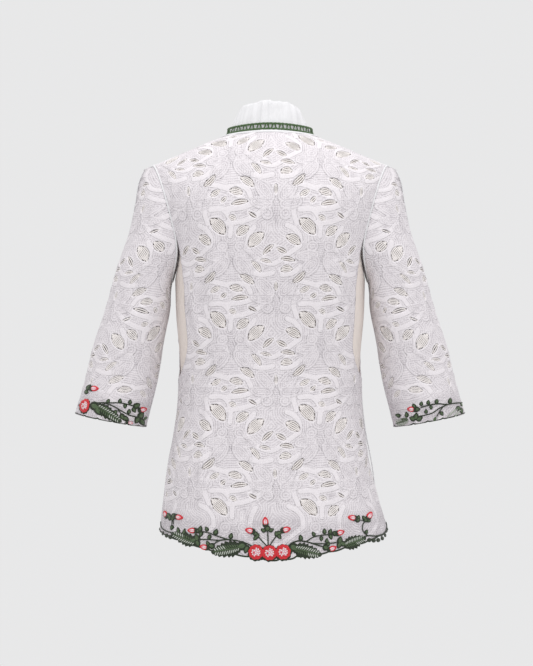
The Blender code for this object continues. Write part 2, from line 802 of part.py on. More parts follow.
def add_band(name, rings, finish, collection):
    """A closed body through a row of rings with the same corners, capped at both ends."""
    corners = len(rings[0])
    points = np.concatenate(rings)
    faces = []
    for k in range(len(rings) - 1):
        for j in range(corners):
            a, b = k * corners + j, k * corners + (j + 1) % corners
            faces.append((a, b, b + corners, a + corners))
    faces.append(tuple(range(corners))[::-1])
    faces.append(tuple(range(len(points) - corners, len(points))))
    thing = add_object(name, points, faces, finish, collection)
    made = bmesh.new()
    made.from_mesh(thing.data)
    bmesh.ops.recalc_face_normals(made, faces=made.faces)
    made.to_mesh(thing.data)
    made.free()
    return thing


def add_binding(finish, collection):
    """The narrow binding that lies on the lace round the neck."""
    surfaces = {side: body_surface(side) for side in (BACK, FRONT)}
    half = []
    steps = RING_STEPS // 4
    for side in (FRONT, BACK):
        edge = neck_edge(side, steps)
        edge = edge[::-1][:-1] if side == FRONT else edge
        spots = np.array(edge)
        around = np.gradient(spots, axis=0)
        away = np.stack([np.abs(around[:, 1]), -np.abs(around[:, 0])], axis=-1)
        away /= np.linalg.norm(away, axis=1, keepdims=True)
        middle = np.abs(spots[:, 0]) < 1e-6
        away[middle] = (0.0, -1.0)
        lines = []
        for reach in (BINDING_START, BINDING_HIGH):
            flat = spots + away * reach
            flat[:, 1] = np.minimum(flat[:, 1], YOKE + over_length(flat[:, 0]) - BINDING_OFF_SEAM)
            points, normals = surfaces[side](flat[:, 0], flat[:, 1])
            foot = points + normals * BINDING_LIFT
            lines.append((foot, foot + normals * BINDING_WALL))
        low, high = lines[1], lines[0]
        half += [np.array([low[0][k], high[0][k], high[1][k], low[1][k]]) for k in range(len(spots))]
    half[0][:, 0] = END_GAP / 2
    mirror = np.array([-1.0, 1.0, 1.0])
    return add_band("neck_binding", [ring * mirror for ring in half[:-1]] + half[::-1], finish, collection)


def add_trim(ring, finish, collection):
    """The green crochet band that stands on the neck edge."""
    points, up, out, _ = dense_ring(ring, RING_STEPS)
    rings = []
    for p, u, o in zip(points, up, out):
        low, high = p + u * TRIM_LOW, p + u * TRIM_HIGH - o * TRIM_LEAN * TRIM_HIGH
        rings.append(np.array([low, high, high - o * TRIM_WALL, low - o * TRIM_WALL]))
    return add_band("neck_trim", rings, finish, collection)


def add_collar(ring, finish, collection):
    """The gathered stand collar inside the band."""
    count = COLLAR_GATHERS * 4 + 1
    points, up, out, place = dense_ring(ring, count)
    rings = []
    for k, (p, u, o) in enumerate(zip(points, up, out)):
        back = math.sin(math.pi * place[k]) ** 0.8
        tall = COLLAR_FRONT_HIGH + (COLLAR_HIGH - COLLAR_FRONT_HIGH) * back
        tall += COLLAR_WAVE * math.sin(k * 0.55) * back
        gather = GATHER_RISE * math.cos(math.pi * k / 2)
        outer, inner = [], []
        for level, share in COLLAR_LEVELS:
            s = TRIM_LOW + tall * level
            inwards = COLLAR_IN + COLLAR_LEAN * s - gather * share
            spot = p + u * s - o * inwards
            outer.append(spot)
            inner.append(spot - o * COLLAR_WALL)
        rings.append(np.array(outer + inner[::-1]))
    return add_band("collar", rings, finish, collection)


def lining_depth(neck):
    """How far in the lining lies: close at the neck edge, and clear of the lace elsewhere."""

    def depth(w, h):
        near = np.full(len(w), np.inf)
        for a, b in neck:
            near = np.minimum(near, np.hypot(w - a, h - b))
        t = np.clip(near / 0.03, 0, 1)
        return LINING_NECK_DEPTH + (LINING_DEPTH - LINING_NECK_DEPTH) * t

    return depth


def lace_depth(w, h):
    """The lace is the outer sheet, so it lies no way in."""
    return np.zeros(len(w))


def lace_panels():
    """The lace of the body: name, side, outline and the flat half width of its hem."""
    panels = []
    for side in (BACK, FRONT):
        half = half_outline(side, True)
        widest = float(quarter_width(HEM_SIDE, side)[0])
        if side == BACK:
            panels.append(("lace_back", side, whole(half), widest))
        else:
            panels.append(("lace_front_left", side, front_outline(half, 1), widest))
            panels.append(("lace_front_right", side, front_outline(half, -1), widest))
    return panels


def gaps_of(tile, outline, keep_off):
    """The openings of one piece of lace."""
    spots = np.array(outline)
    return clear_gaps(lace_gaps(tile, spots.min(0), spots.max(0)), outline, keep_off)


def lace_jobs():
    """Every piece of lace: name, surface, whether it is turned, outline, openings, patches."""
    jobs = []
    for name, side, outline, widest in lace_panels():

        def off_hem(a, b, widest=widest):
            clear = BORDER_SIDE if abs(a) > BORDER_CENTRE else BORDER_MIDDLE
            return b > hem_height(a, widest) + clear

        gaps = gaps_of(BODY_TILE, outline, off_hem)
        jobs.append((name, body_surface(side), side == BACK, outline, gaps, hem_patches(outline, widest)))
    rings = {side: ring_table(side) for side in (BACK, FRONT)}
    for hand, word in ((1, "left"), (-1, "right")):
        surface = sleeve_surface(hand, rings)
        for side in (BACK, FRONT):
            outline = sleeve_outline(side)
            gaps = gaps_of(SLEEVE_TILE, outline, lambda a, b: b > BORDER_CUFF)
            name = f"sleeve_{word}_{depth_name(side)}"
            jobs.append((name, surface, hand < 0, outline, gaps, cuff_patches(outline)))
    return jobs


def kept_gaps(jobs):
    """The kinds of opening that are cut: the smallest go until there are few enough."""
    total = sum(len(job[4]) for job in jobs)
    kinds = sorted({gap for job in jobs for gap, _ in job[4]}, key=lambda gap: gap.length * gap.width)
    while total > MOST_GAPS and kinds:
        smallest = kinds.pop(0)
        total -= sum(gap == smallest for job in jobs for gap, _ in job[4])
    return kinds


def add_lace(finish, collection):
    """Every lace node."""
    jobs = lace_jobs()
    kinds = kept_gaps(jobs)
    for name, surface, turned, outline, gaps, patches in jobs:
        holes = [loop for gap, loop in gaps if gap in kinds]
        sheet = cut_sheet(outline, holes, patches, LACE_GRID)
        add_sheet(name, surface, turned, sheet, LACE_WALL, lace_depth, finish, collection)
        print(name, "openings", len(holes))


def add_linings(finish, collection):
    """The three lining nodes."""
    for side in (BACK, FRONT):
        half = half_outline(side, False)
        neck = neck_edge(side, 10)
        neck += [(-w, h) for w, h in neck]
        surface = body_surface(side, folds=False)
        depth = lining_depth(neck)
        if side == BACK:
            sheets = {"lining_back": whole(half)}
        else:
            sheets = {f"lining_front_{word}": front_outline(half, hand)
                      for word, hand in (("left", 1), ("right", -1))}
        for name, outline in sheets.items():
            sheet = cut_sheet(outline, [], [], LINING_GRID)
            add_sheet(name, surface, side == BACK, sheet, LINING_WALL, depth, finish, collection)


def build():
    """Builds every node in a collection of its own."""
    for thing in list(bpy.data.objects):
        bpy.data.objects.remove(thing)
    collection = bpy.data.collections.new("kebaya_blouse")
    bpy.context.scene.collection.children.link(collection)
    lace = material("lace", (0.86, 0.85, 0.87), 0.8)
    lining = material("lining", (0.70, 0.66, 0.60), 0.75)
    white = material("white_cotton", (0.88, 0.88, 0.87), 0.8)
    green = material("green_crochet", (0.08, 0.14, 0.05), 0.85)
    add_lace(lace, collection)
    add_linings(lining, collection)
    ring = neck_ring()
    add_binding(white, collection)
    add_trim(ring, green, collection)
    add_collar(ring, white, collection)


build()
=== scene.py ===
"""The looks of a white butterfly-lace kebaya blouse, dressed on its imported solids.

Every sheet is worked out on a flat pattern (across, up) in metres and laid on the same body and
sleeve forms that the solids have. The back faces +Y and the front faces -Y.
"""

import logging
import math
from collections.abc import Callable, Sequence
from dataclasses import dataclass, field
from enum import Enum
from typing import NamedTuple

import bmesh
import bpy
import numpy as np
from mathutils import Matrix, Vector

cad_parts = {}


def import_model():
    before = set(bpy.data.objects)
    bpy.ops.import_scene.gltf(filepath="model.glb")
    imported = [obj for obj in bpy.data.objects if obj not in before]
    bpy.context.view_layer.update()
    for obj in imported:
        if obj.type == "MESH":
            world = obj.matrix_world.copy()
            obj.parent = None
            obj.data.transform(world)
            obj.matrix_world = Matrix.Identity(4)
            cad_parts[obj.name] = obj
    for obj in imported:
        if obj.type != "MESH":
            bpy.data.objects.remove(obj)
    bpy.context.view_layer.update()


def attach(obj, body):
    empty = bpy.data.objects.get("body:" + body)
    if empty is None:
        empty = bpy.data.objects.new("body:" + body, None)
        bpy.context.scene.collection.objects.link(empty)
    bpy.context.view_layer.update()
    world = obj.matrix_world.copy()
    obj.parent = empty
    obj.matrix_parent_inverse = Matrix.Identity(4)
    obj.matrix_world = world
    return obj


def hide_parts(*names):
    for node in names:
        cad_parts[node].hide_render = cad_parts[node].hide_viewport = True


log = logging.getLogger("kebaya_blouse")

Array = np.ndarray
Material = bpy.types.Material
Piece = bpy.types.Object
Socket = bpy.types.NodeSocket
Place = tuple[float, float]
Spot = tuple[float, float, float]
Colour = tuple[float, float, float]
Loop = list[Place]
Surface = Callable[[Array, Array], tuple[Array, Array]]

MILLIMETRE = 0.001
MIRRORED = (-1.0, 1.0, 1.0)
# One unit of the border's drawing, in metres.
DRAWN_UNIT = 0.0017
# Where the garment is seen from.
EYE = (0.006, 3.2, -0.3366)
# Threads in a metre at a wave texture's scale of 1.
WAVE_TURN = 6.283
# The width and height of the lace's repeat.
REPEAT = (0.148, 0.153)
# How far apart the bars of the net are, in millimetres.
BAR_PITCH = 2.5


class Side(Enum):
    """Which way a panel of the body faces; the value is the sign of its Y."""

    BACK = 1
    FRONT = -1


class Hand(Enum):
    """Which of the wearer's sides a piece is on; the value is the sign of its X."""

    LEFT = 1
    RIGHT = -1


# ---------------------------------------------------------------- finishes


class Nodes:
    """A short way to write a material's node tree."""

    def __init__(self, name: str) -> None:
        """Starts a material with a Principled shader.

        Args:
            name: The material's name.
        """
        self.material = bpy.data.materials.new(name)
        self.material.use_nodes = True
        self.tree = self.material.node_tree
        self.shader = self.tree.nodes["Principled BSDF"]

    def add(self, kind: str, **sockets: object) -> bpy.types.Node:
        """Adds a node and sets its inputs.

        Args:
            kind: The node's type without its ShaderNode prefix.
            sockets: Input names, with _ for a space, and a value or an output to link.

        Returns:
            The new node.
        """
        node = self.tree.nodes.new(f"ShaderNode{kind}")
        for name, value in sockets.items():
            self.put(node, name.replace("_", " "), value)
        return node

    def put(self, node: bpy.types.Node, name: str | int, value: object) -> None:
        """Sets or links one input of a node.

        Args:
            node: The node.
            name: The input's name or number.
            value: A plain value, or an output socket to link.
        """
        if isinstance(value, Socket):
            self.tree.links.new(value, node.inputs[name])
        else:
            node.inputs[name].default_value = value

    def maths(self, operation: str, a: object, b: object = 0.0, c: object = 0.0) -> Socket:
        """Adds a Math node.

        Args:
            operation: Its operation.
            a: Its first value or link.
            b: Its second value or link.
            c: Its third value or link.

        Returns:
            Its output.
        """
        node = self.add("Math")
        node.operation = operation
        for number, value in enumerate((a, b, c)):
            self.put(node, number, value)
        return node.outputs[0]

    def step(self, value: Socket, start: float, end: float) -> Socket:
        """A soft step from 0 at start to 1 at end."""
        return self.add("MapRange", Value=value, From_Min=start, From_Max=end).outputs[0]

    def ridge(self, value: Socket, place: float, width: float) -> Socket:
        """A ridge that is 1 where a value is at a place and 0 from its width on."""
        off = self.maths("ABSOLUTE", self.maths("SUBTRACT", value, place))
        return self.step(off, width, 0.0)

    def mix(self, share: object, low: object, high: object) -> Socket:
        """Mixes two colours.

        Args:
            share: How much of the second colour.
            low: The first colour.
            high: The second colour.

        Returns:
            The mixed colour.
        """
        node = self.add("Mix")
        node.data_type = "RGBA"
        self.put(node, 0, share)
        self.put(node, 6, low)
        self.put(node, 7, high)
        return node.outputs[2]

    def reading(self, name: str) -> Socket:
        """The value that the mesh carries under a name.

        Args:
            name: The attribute's name.

        Returns:
            Its number as an output.
        """
        node = self.add("Attribute")
        node.attribute_name = name
        return node.outputs["Fac"]

    def flat(self, scale: float) -> Socket:
        """The sheet's flat coordinates, scaled.

        Args:
            scale: How many units a metre has.

        Returns:
            A vector output.
        """
        scaled = self.add("VectorMath")
        scaled.operation = "SCALE"
        self.put(scaled, 0, self.add("UVMap").outputs[0])
        self.put(scaled, "Scale", scale)
        return scaled.outputs[0]

    def noise(self, scale: float, detail: float, roughness: float = 0.5) -> Socket:
        """Soft noise over the sheet, from 0 to 1."""
        return self.add("TexNoise", Vector=self.flat(scale), Scale=1.0, Detail=detail,
                        Roughness=roughness).outputs["Fac"]

    def total(self, start: float, *parts: tuple[Socket, float]) -> Socket:
        """Adds up values that each have a weight.

        Args:
            start: What the sum starts at.
            parts: The values and their weights.

        Returns:
            The sum.
        """
        for value, weight in parts:
            start = self.maths("MULTIPLY_ADD", value, weight, start)
        return start

    def bump(self, height: Socket, deep: float, before: object = None) -> Socket:
        """Adds a bump.

        Args:
            height: The height, from 0 to 1.
            deep: The height's real size in metres.
            before: The normal of the bump under it, if any.

        Returns:
            The normal output.
        """
        node = self.add("Bump", Strength=1.0, Distance=deep, Height=height)
        if before is not None:
            self.put(node, "Normal", before)
        return node.outputs[0]

    def finish(self, colour: object, roughness: float, normal: object, sheen: float) -> Material:
        """Wires the shader.

        Args:
            colour: The base colour.
            roughness: Its roughness.
            normal: The normal output.
            sheen: How much sheen the cloth has.

        Returns:
            The material.
        """
        inputs = {"Base Color": colour, "Roughness": roughness, "Sheen Weight": sheen,
                  "Sheen Roughness": 0.45, "Specular IOR Level": 0.25, "Normal": normal}
        for name, value in inputs.items():
            self.put(self.shader, name, value)
        return self.material


def rgb(colour: Colour, scale: float = 1.0) -> tuple[float, float, float, float]:
    """A colour with its alpha, made lighter or darker."""
    return (colour[0] * scale, colour[1] * scale, colour[2] * scale, 1.0)


@dataclass(frozen=True)
class LaceFinish:
    """White embroidered lace: rows of stitches in the wings, smooth ribbons, matte thread."""

    name: str = "butterfly_lace"
    thread: Colour = (0.815, 0.775, 0.800)
    # The darker tone that the thread is mixed towards, for painted shade and for random mottle.
    shade_and_mottle_tone: Colour = (0.470, 0.435, 0.462)
    row: float = 0.0040
    segment: float = 0.0034
    ribbon_share: float = 0.30
    # Weights of the painted shade in the stitch pits, the trenches and the grooves between a body's segments.
    pit_shade: float = 0.74
    trench_shade: float = 0.16
    segment_shade: float = 0.22
    # Weights of the random mottle.
    soft_shade: float = 0.16
    satin_shade: float = 0.26
    grain_shade: float = 0.05
    # The weight of a painted highlight on the raised cords.
    cord_light: float = 0.12
    # The weight of painted shade near the flower border, where the dark behind the net shows through.
    mesh_shade: float = 1.1

    def make(self) -> Material:
        """Builds the material.

        Returns:
            The material, which reads the sheet's distances and flat coordinates.
        """
        n = Nodes(self.name)
        gap, wing, body, band = (n.reading(name) for name in ("gap", "wing", "body", "band"))
        inside = n.step(wing, 0.0004, -0.0006)
        outside = n.maths("SUBTRACT", 1.0, inside)
        off_gap = n.step(gap, 0.0022, 0.0030)
        ground = n.maths("MULTIPLY", n.maths("MULTIPLY", off_gap, n.step(band, 0.0040, 0.0048)), outside)
        trunk = n.step(body, 0.0004, -0.0004)
        wings = n.maths("MULTIPLY", inside, n.maths("SUBTRACT", 1.0, trunk))
        level = n.maths("MULTIPLY_ADD", wing, inside, n.maths("MULTIPLY", band, outside))
        level = n.total(level, (n.noise(120.0, 1.0), 0.0022))
        rows = n.maths("POWER", self.wave(n, level, self.row), 1.1)
        dots = n.add("TexVoronoi", Vector=n.flat(270.0), Randomness=0.35, Scale=1.0)
        bead = n.maths("MULTIPLY_ADD", n.step(dots.outputs["Distance"], 0.10, 0.46), 0.92, 0.08)
        bead = n.maths("MULTIPLY", bead, n.maths("MULTIPLY_ADD", n.noise(75.0, 2.0), 1.6, 0.15))
        textured = n.maths("MAXIMUM", n.maths("MAXIMUM", wings, ground),
                           n.maths("MULTIPLY", off_gap, self.ribbon_share))
        # Painted shade in the stitch pits, which also bump the normal.
        beaded = n.maths("MULTIPLY", n.maths("MULTIPLY_ADD", rows, 0.62, 0.26), bead)
        pits = n.maths("MULTIPLY", beaded, textured)
        # Cords get a painted highlight and trenches painted shade; both also bump the normal.
        cord = n.maths("MAXIMUM", n.ridge(gap, 0.0012, 0.0010), n.ridge(wing, -0.0008, 0.0010))
        cord = n.maths("MAXIMUM", cord, n.ridge(band, 0.0034, 0.0008))
        trench = n.maths("MAXIMUM", n.ridge(band, 0.0048, 0.0007), n.ridge(wing, 0.0009, 0.0009))
        # Painted shade in the grooves between a body's segments, which also bump the normal.
        segments = n.maths("MULTIPLY", self.wave(n, self.upright(n), self.segment), trunk)
        grain = n.noise(1300.0, 3.0, 0.6)
        # Painted shade near the flower border, where the lace is calm and the dark behind the net shows
        # through.
        mesh = n.maths("MULTIPLY", n.maths("SUBTRACT", 1.0, n.reading("calm")),
                       n.maths("SUBTRACT", 1.1, bead))
        # Painted shade and painted highlight, with random mottle, mix the thread towards the darker tone.
        shade = n.total(-0.5 * (self.soft_shade + self.satin_shade), (pits, self.pit_shade),
                        (trench, self.trench_shade), (segments, self.segment_shade),
                        (n.noise(22.0, 2.0), self.soft_shade), (n.noise(360.0, 1.0), self.satin_shade),
                        (grain, self.grain_shade), (cord, -self.cord_light), (mesh, self.mesh_shade))
        colour = n.mix(n.maths("MAXIMUM", shade, 0.0), rgb(self.thread), rgb(self.shade_and_mottle_tone))
        low = n.bump(n.maths("SUBTRACT", 1.0, n.maths("MAXIMUM", pits, segments)), 0.0005)
        mid = n.bump(n.maths("SUBTRACT", cord, trench), 0.0003, low)
        return n.finish(colour, 0.82, n.bump(grain, 0.00010, mid), 0.10)

    @staticmethod
    def wave(n: Nodes, place: Socket, length: float) -> Socket:
        """A wave from 0 to 1 along a distance."""
        wave = n.maths("SINE", n.maths("MULTIPLY", place, 2 * math.pi / length))
        return n.maths("MULTIPLY_ADD", wave, 0.5, 0.5)

    @staticmethod
    def upright(n: Nodes) -> Socket:
        """How far up the pattern a place is."""
        return n.add("SeparateXYZ", Vector=n.flat(1.0)).outputs["Y"]


@dataclass(frozen=True)
class ClothFinish:
    """A plain woven cloth with its threads and slight mottling."""

    name: str
    colour: Colour
    threads: float = 1900.0
    deep: float = 0.00010
    mottle: float = 0.08
    sheen: float = 0.10

    def make(self) -> Material:
        """Builds the material.

        Returns:
            The material, which reads the sheet's flat coordinates.
        """
        n = Nodes(self.name)
        flat = n.flat(1.0)
        one = n.add("TexWave", Vector=flat, Scale=self.threads / WAVE_TURN)
        two = n.add("TexWave", Vector=flat, Scale=self.threads / WAVE_TURN)
        two.bands_direction = "Y"
        weave = n.maths("MAXIMUM", one.outputs["Fac"], two.outputs["Fac"])
        soft = n.noise(60.0, 4.0)
        share = n.maths("MULTIPLY", soft, self.mottle * 2)
        colour = n.mix(share, rgb(self.colour), rgb(self.colour, 0.55))
        top = n.bump(soft, 0.0006, n.bump(weave, self.deep))
        return n.finish(colour, 0.80, top, self.sheen)


@dataclass(frozen=True)
class ThreadFinish:
    """Embroidery or crochet thread: satin stitches that run across the motif."""

    name: str
    colour: Colour
    # The second tone, painted along each stitch's crest: a painted highlight, and for the white thread
    # painted shade.
    pale: Colour
    stitches: float = 950.0
    share: float = 0.45

    def make(self) -> Material:
        """Builds the material.

        Returns:
            The material, which reads the motif's own coordinates.
        """
        n = Nodes(self.name)
        scale = self.stitches / WAVE_TURN
        lines = n.add("TexWave", Vector=n.flat(1.0), Scale=scale, Distortion=1.2, Detail=1.0).outputs["Fac"]
        # The second tone is painted along the stitch lines, as painted highlight or painted shade, patchy
        # with noise.
        share = n.maths("MULTIPLY", n.maths("POWER", lines, 2.0), self.share)
        share = n.maths("MULTIPLY", share, n.maths("MULTIPLY", n.noise(160.0, 2.0), 1.9))
        colour = n.mix(share, rgb(self.colour), rgb(self.pale))
        top = n.bump(n.noise(900.0, 2.0), 0.00012, n.bump(lines, 0.00035))
        return n.finish(colour, 0.62, top, 0.15)


class Thread(Enum):
    """The colours of the embroidery."""

    # Each thread's second colour is a painted highlight along its stitches; for WHITE it is painted shade.
    DARK_GREEN = ThreadFinish("thread_dark_green", (0.014, 0.023, 0.012), (0.085, 0.108, 0.062))
    LEAF_GREEN = ThreadFinish("thread_leaf_green", (0.055, 0.092, 0.042), (0.215, 0.280, 0.160))
    PALE_GREEN = ThreadFinish("thread_pale_green", (0.420, 0.460, 0.390), (0.640, 0.660, 0.620))
    RED = ThreadFinish("thread_red", (0.560, 0.020, 0.030), (0.830, 0.080, 0.090))
    PINK = ThreadFinish("thread_pink", (0.800, 0.260, 0.330), (0.860, 0.620, 0.660))
    WHITE = ThreadFinish("thread_white", (0.800, 0.790, 0.790), (0.620, 0.600, 0.610))


# ---------------------------------------------------------------- forms


class Section(NamedTuple):
    """The body at one height: half its width, how deep it is, and how far it sways."""

    height: float
    half_width: float
    back: float
    front: float
    sway: float


SECTIONS = (
    Section(-0.740, 0.2060, 0.144, 0.146, -0.0070),
    Section(-0.668, 0.1930, 0.139, 0.141, -0.0060),
    Section(-0.620, 0.1830, 0.134, 0.136, -0.0020),
    Section(-0.560, 0.1715, 0.126, 0.128, 0.0020),
    Section(-0.500, 0.1610, 0.118, 0.118, 0.0010),
    Section(-0.430, 0.1555, 0.110, 0.110, 0.0000),
    Section(-0.370, 0.1585, 0.108, 0.112, 0.0000),
    Section(-0.310, 0.1640, 0.112, 0.121, 0.0000),
    Section(-0.250, 0.1660, 0.117, 0.127, 0.0000),
    Section(-0.200, 0.1680, 0.119, 0.125, 0.0000),
    Section(-0.150, 0.1830, 0.118, 0.119, 0.0000),
    Section(-0.060, 0.2080, 0.116, 0.113, 0.0000),
    Section(0.080, 0.2150, 0.114, 0.108, 0.0000),
)


class Station(NamedTuple):
    """A sleeve's ring: its outermost and innermost points, seen from the back."""

    along: float
    outer_x: float
    outer_z: float
    inner_x: float
    inner_z: float
    half_depth: float


STATIONS = (
    Station(0.00, 0.1995, -0.0525, 0.1660, -0.2500, 0.0620),
    Station(0.06, 0.2120, -0.0730, 0.1685, -0.2640, 0.0615),
    Station(0.16, 0.2240, -0.1130, 0.1700, -0.2890, 0.0610),
    Station(0.30, 0.2420, -0.1730, 0.1750, -0.3240, 0.0600),
    Station(0.50, 0.2690, -0.2590, 0.1840, -0.3730, 0.0580),
    Station(0.75, 0.3010, -0.3660, 0.1960, -0.4340, 0.0570),
    Station(1.00, 0.3300, -0.4720, 0.2090, -0.4950, 0.0580),
)


class Fold(NamedTuple):
    """A soft ridge on the back or front, from one point of the flat pattern to another."""

    side: Side
    across_top: float
    top: float
    across_bottom: float
    bottom: float
    rise: float
    width: float


FOLDS = (
    Fold(Side.BACK, -0.072, -0.175, -0.086, -0.350, 0.0050, 0.011),
    Fold(Side.BACK, -0.116, -0.235, -0.134, -0.330, 0.0045, 0.011),
    Fold(Side.BACK, 0.100, -0.180, 0.088, -0.350, 0.0035, 0.013),
    Fold(Side.BACK, 0.136, -0.290, 0.120, -0.350, 0.0035, 0.010),
    Fold(Side.BACK, -0.086, -0.450, -0.094, -0.600, 0.0045, 0.009),
    Fold(Side.BACK, 0.104, -0.450, 0.116, -0.600, 0.0045, 0.009),
    Fold(Side.FRONT, -0.090, -0.235, -0.084, -0.400, 0.0045, 0.012),
    Fold(Side.FRONT, 0.090, -0.235, 0.084, -0.400, 0.0045, 0.012),
    Fold(Side.FRONT, -0.100, -0.490, -0.118, -0.620, 0.0040, 0.015),
    Fold(Side.FRONT, 0.100, -0.490, 0.118, -0.620, 0.0040, 0.015),
)


def smooth(x: Array, xs: Sequence[float], ys: Sequence[float]) -> Array:
    """A smooth curve through the rows (xs, ys), read at x.

    Args:
        x: Where it is read.
        xs: The rows' places, rising.
        ys: The rows' values.

    Returns:
        The curve's values.
    """
    xs = np.asarray(xs, float)
    ys = np.asarray(ys, float)
    slope = np.gradient(ys, xs)
    x = np.clip(x, xs[0], xs[-1])
    i = np.clip(np.searchsorted(xs, x, side="right") - 1, 0, len(xs) - 2)
    step = xs[i + 1] - xs[i]
    t = (x - xs[i]) / step
    rise = ys[i] * (1 + 2 * t) * (1 - t) ** 2 + ys[i + 1] * t**2 * (3 - 2 * t)
    return rise + step * (slope[i] * t * (1 - t) ** 2 - slope[i + 1] * t**2 * (1 - t))


def measure(table: Sequence[NamedTuple], place: Array, name: str) -> Array:
    """A named column of a table, read smoothly at places in its first column."""
    return smooth(place, [row[0] for row in table], [getattr(row, name) for row in table])


def unit(vectors: Array) -> Array:
    """Vectors scaled to length 1."""
    return vectors / np.maximum(np.linalg.norm(vectors, axis=-1, keepdims=True), 1e-12)


def lengths_along(line: Array) -> Array:
    """How long a line is up to each of its points."""
    return np.concatenate([[0], np.cumsum(np.linalg.norm(np.diff(line, axis=0), axis=1))])


def smooth_line(places: Array, step: float, least: int) -> Array:
    """A smooth line through flat places.

    Args:
        places: The places.
        step: About how far apart its points are.
        least: The fewest points it has.

    Returns:
        Its points.
    """
    run = lengths_along(places)
    t = np.linspace(0, run[-1], max(int(run[-1] / step), least))
    return np.stack([smooth(t, run, places[:, 0]), smooth(t, run, places[:, 1])], axis=-1)


def heading(angle: float) -> Place:
    """The cosine and sine of an angle in degrees."""
    return math.cos(math.radians(angle)), math.sin(math.radians(angle))


def grid_corners(across: int, up: int) -> tuple[Array, Array, Array, Array]:
    """The four corners of every cell of a grid of points, anticlockwise.

    Args:
        across: How many points it has across.
        up: How many up.

    Returns:
        The corners' numbers, the lowest first.
    """
    i, j = np.meshgrid(np.arange(across - 1), np.arange(up - 1), indexing="ij")
    a = (i * up + j).ravel()
    return a, a + up, a + up + 1, a + 1


def normals_of(shape: Callable[[Array, Array], Array], w: Array, h: Array, outwards: float) -> Array:
    """Unit normals of a shape that is given as a function of two flat coordinates.

    Args:
        shape: The function.
        w, h: Places across and up.
        outwards: 1 or -1, which side is outside.

    Returns:
        The normals.
    """
    e = 2e-4
    across = shape(w + e, h) - shape(w - e, h)
    up = shape(w, h + e) - shape(w, h - e)
    return unit(np.cross(across, up) * outwards)


class Lattice:
    """A shape worked out on a coarse flat grid and read smoothly between its points."""

    def __init__(self, shape: Callable[[Array, Array], Array], low: Array, high: Array, step: float) -> None:
        """Works out the grid.

        Args:
            shape: The exact shape.
            low: The lowest corner of the flat area.
            high: Its highest corner.
            step: The grid's spacing.
        """
        self.low, self.step = np.asarray(low) - 2 * step, step
        self.count = np.ceil((np.asarray(high) - self.low) / step).astype(int) + 3
        w = self.low[0] + np.arange(self.count[0]) * step
        h = self.low[1] + np.arange(self.count[1]) * step
        grid_w, grid_h = np.meshgrid(w, h, indexing="ij")
        points = shape(grid_w.ravel(), grid_h.ravel())
        self.points = points.reshape(self.count[0], self.count[1], 3)

    @staticmethod
    def weights(t: Array) -> Array:
        """Catmull-Rom weights of the four grid points around a place.

        Args:
            t: How far along the middle span, 0 to 1.

        Returns:
            Four rows of weights.
        """
        return np.stack([
            -0.5 * t + t**2 - 0.5 * t**3,
            1 - 2.5 * t**2 + 1.5 * t**3,
            0.5 * t + 2 * t**2 - 1.5 * t**3,
            -0.5 * t**2 + 0.5 * t**3,
        ])

    def read(self, w: Array, h: Array) -> Array:
        """Points of the shape.

        Args:
            w, h: Places across and up.

        Returns:
            A point for each place.
        """
        spot = (np.stack([w, h]) - self.low[:, None]) / self.step
        start = np.clip(np.floor(spot).astype(int), 1, self.count[:, None] - 3)
        t = np.clip(spot - start, 0, 1)
        across, up = self.weights(t[0]), self.weights(t[1])
        total = np.zeros((len(w), 3))
        for i in range(4):
            for j in range(4):
                share = (across[i] * up[j])[:, None]
                total += share * self.points[start[0] + i - 1, start[1] + j - 1]
        return total


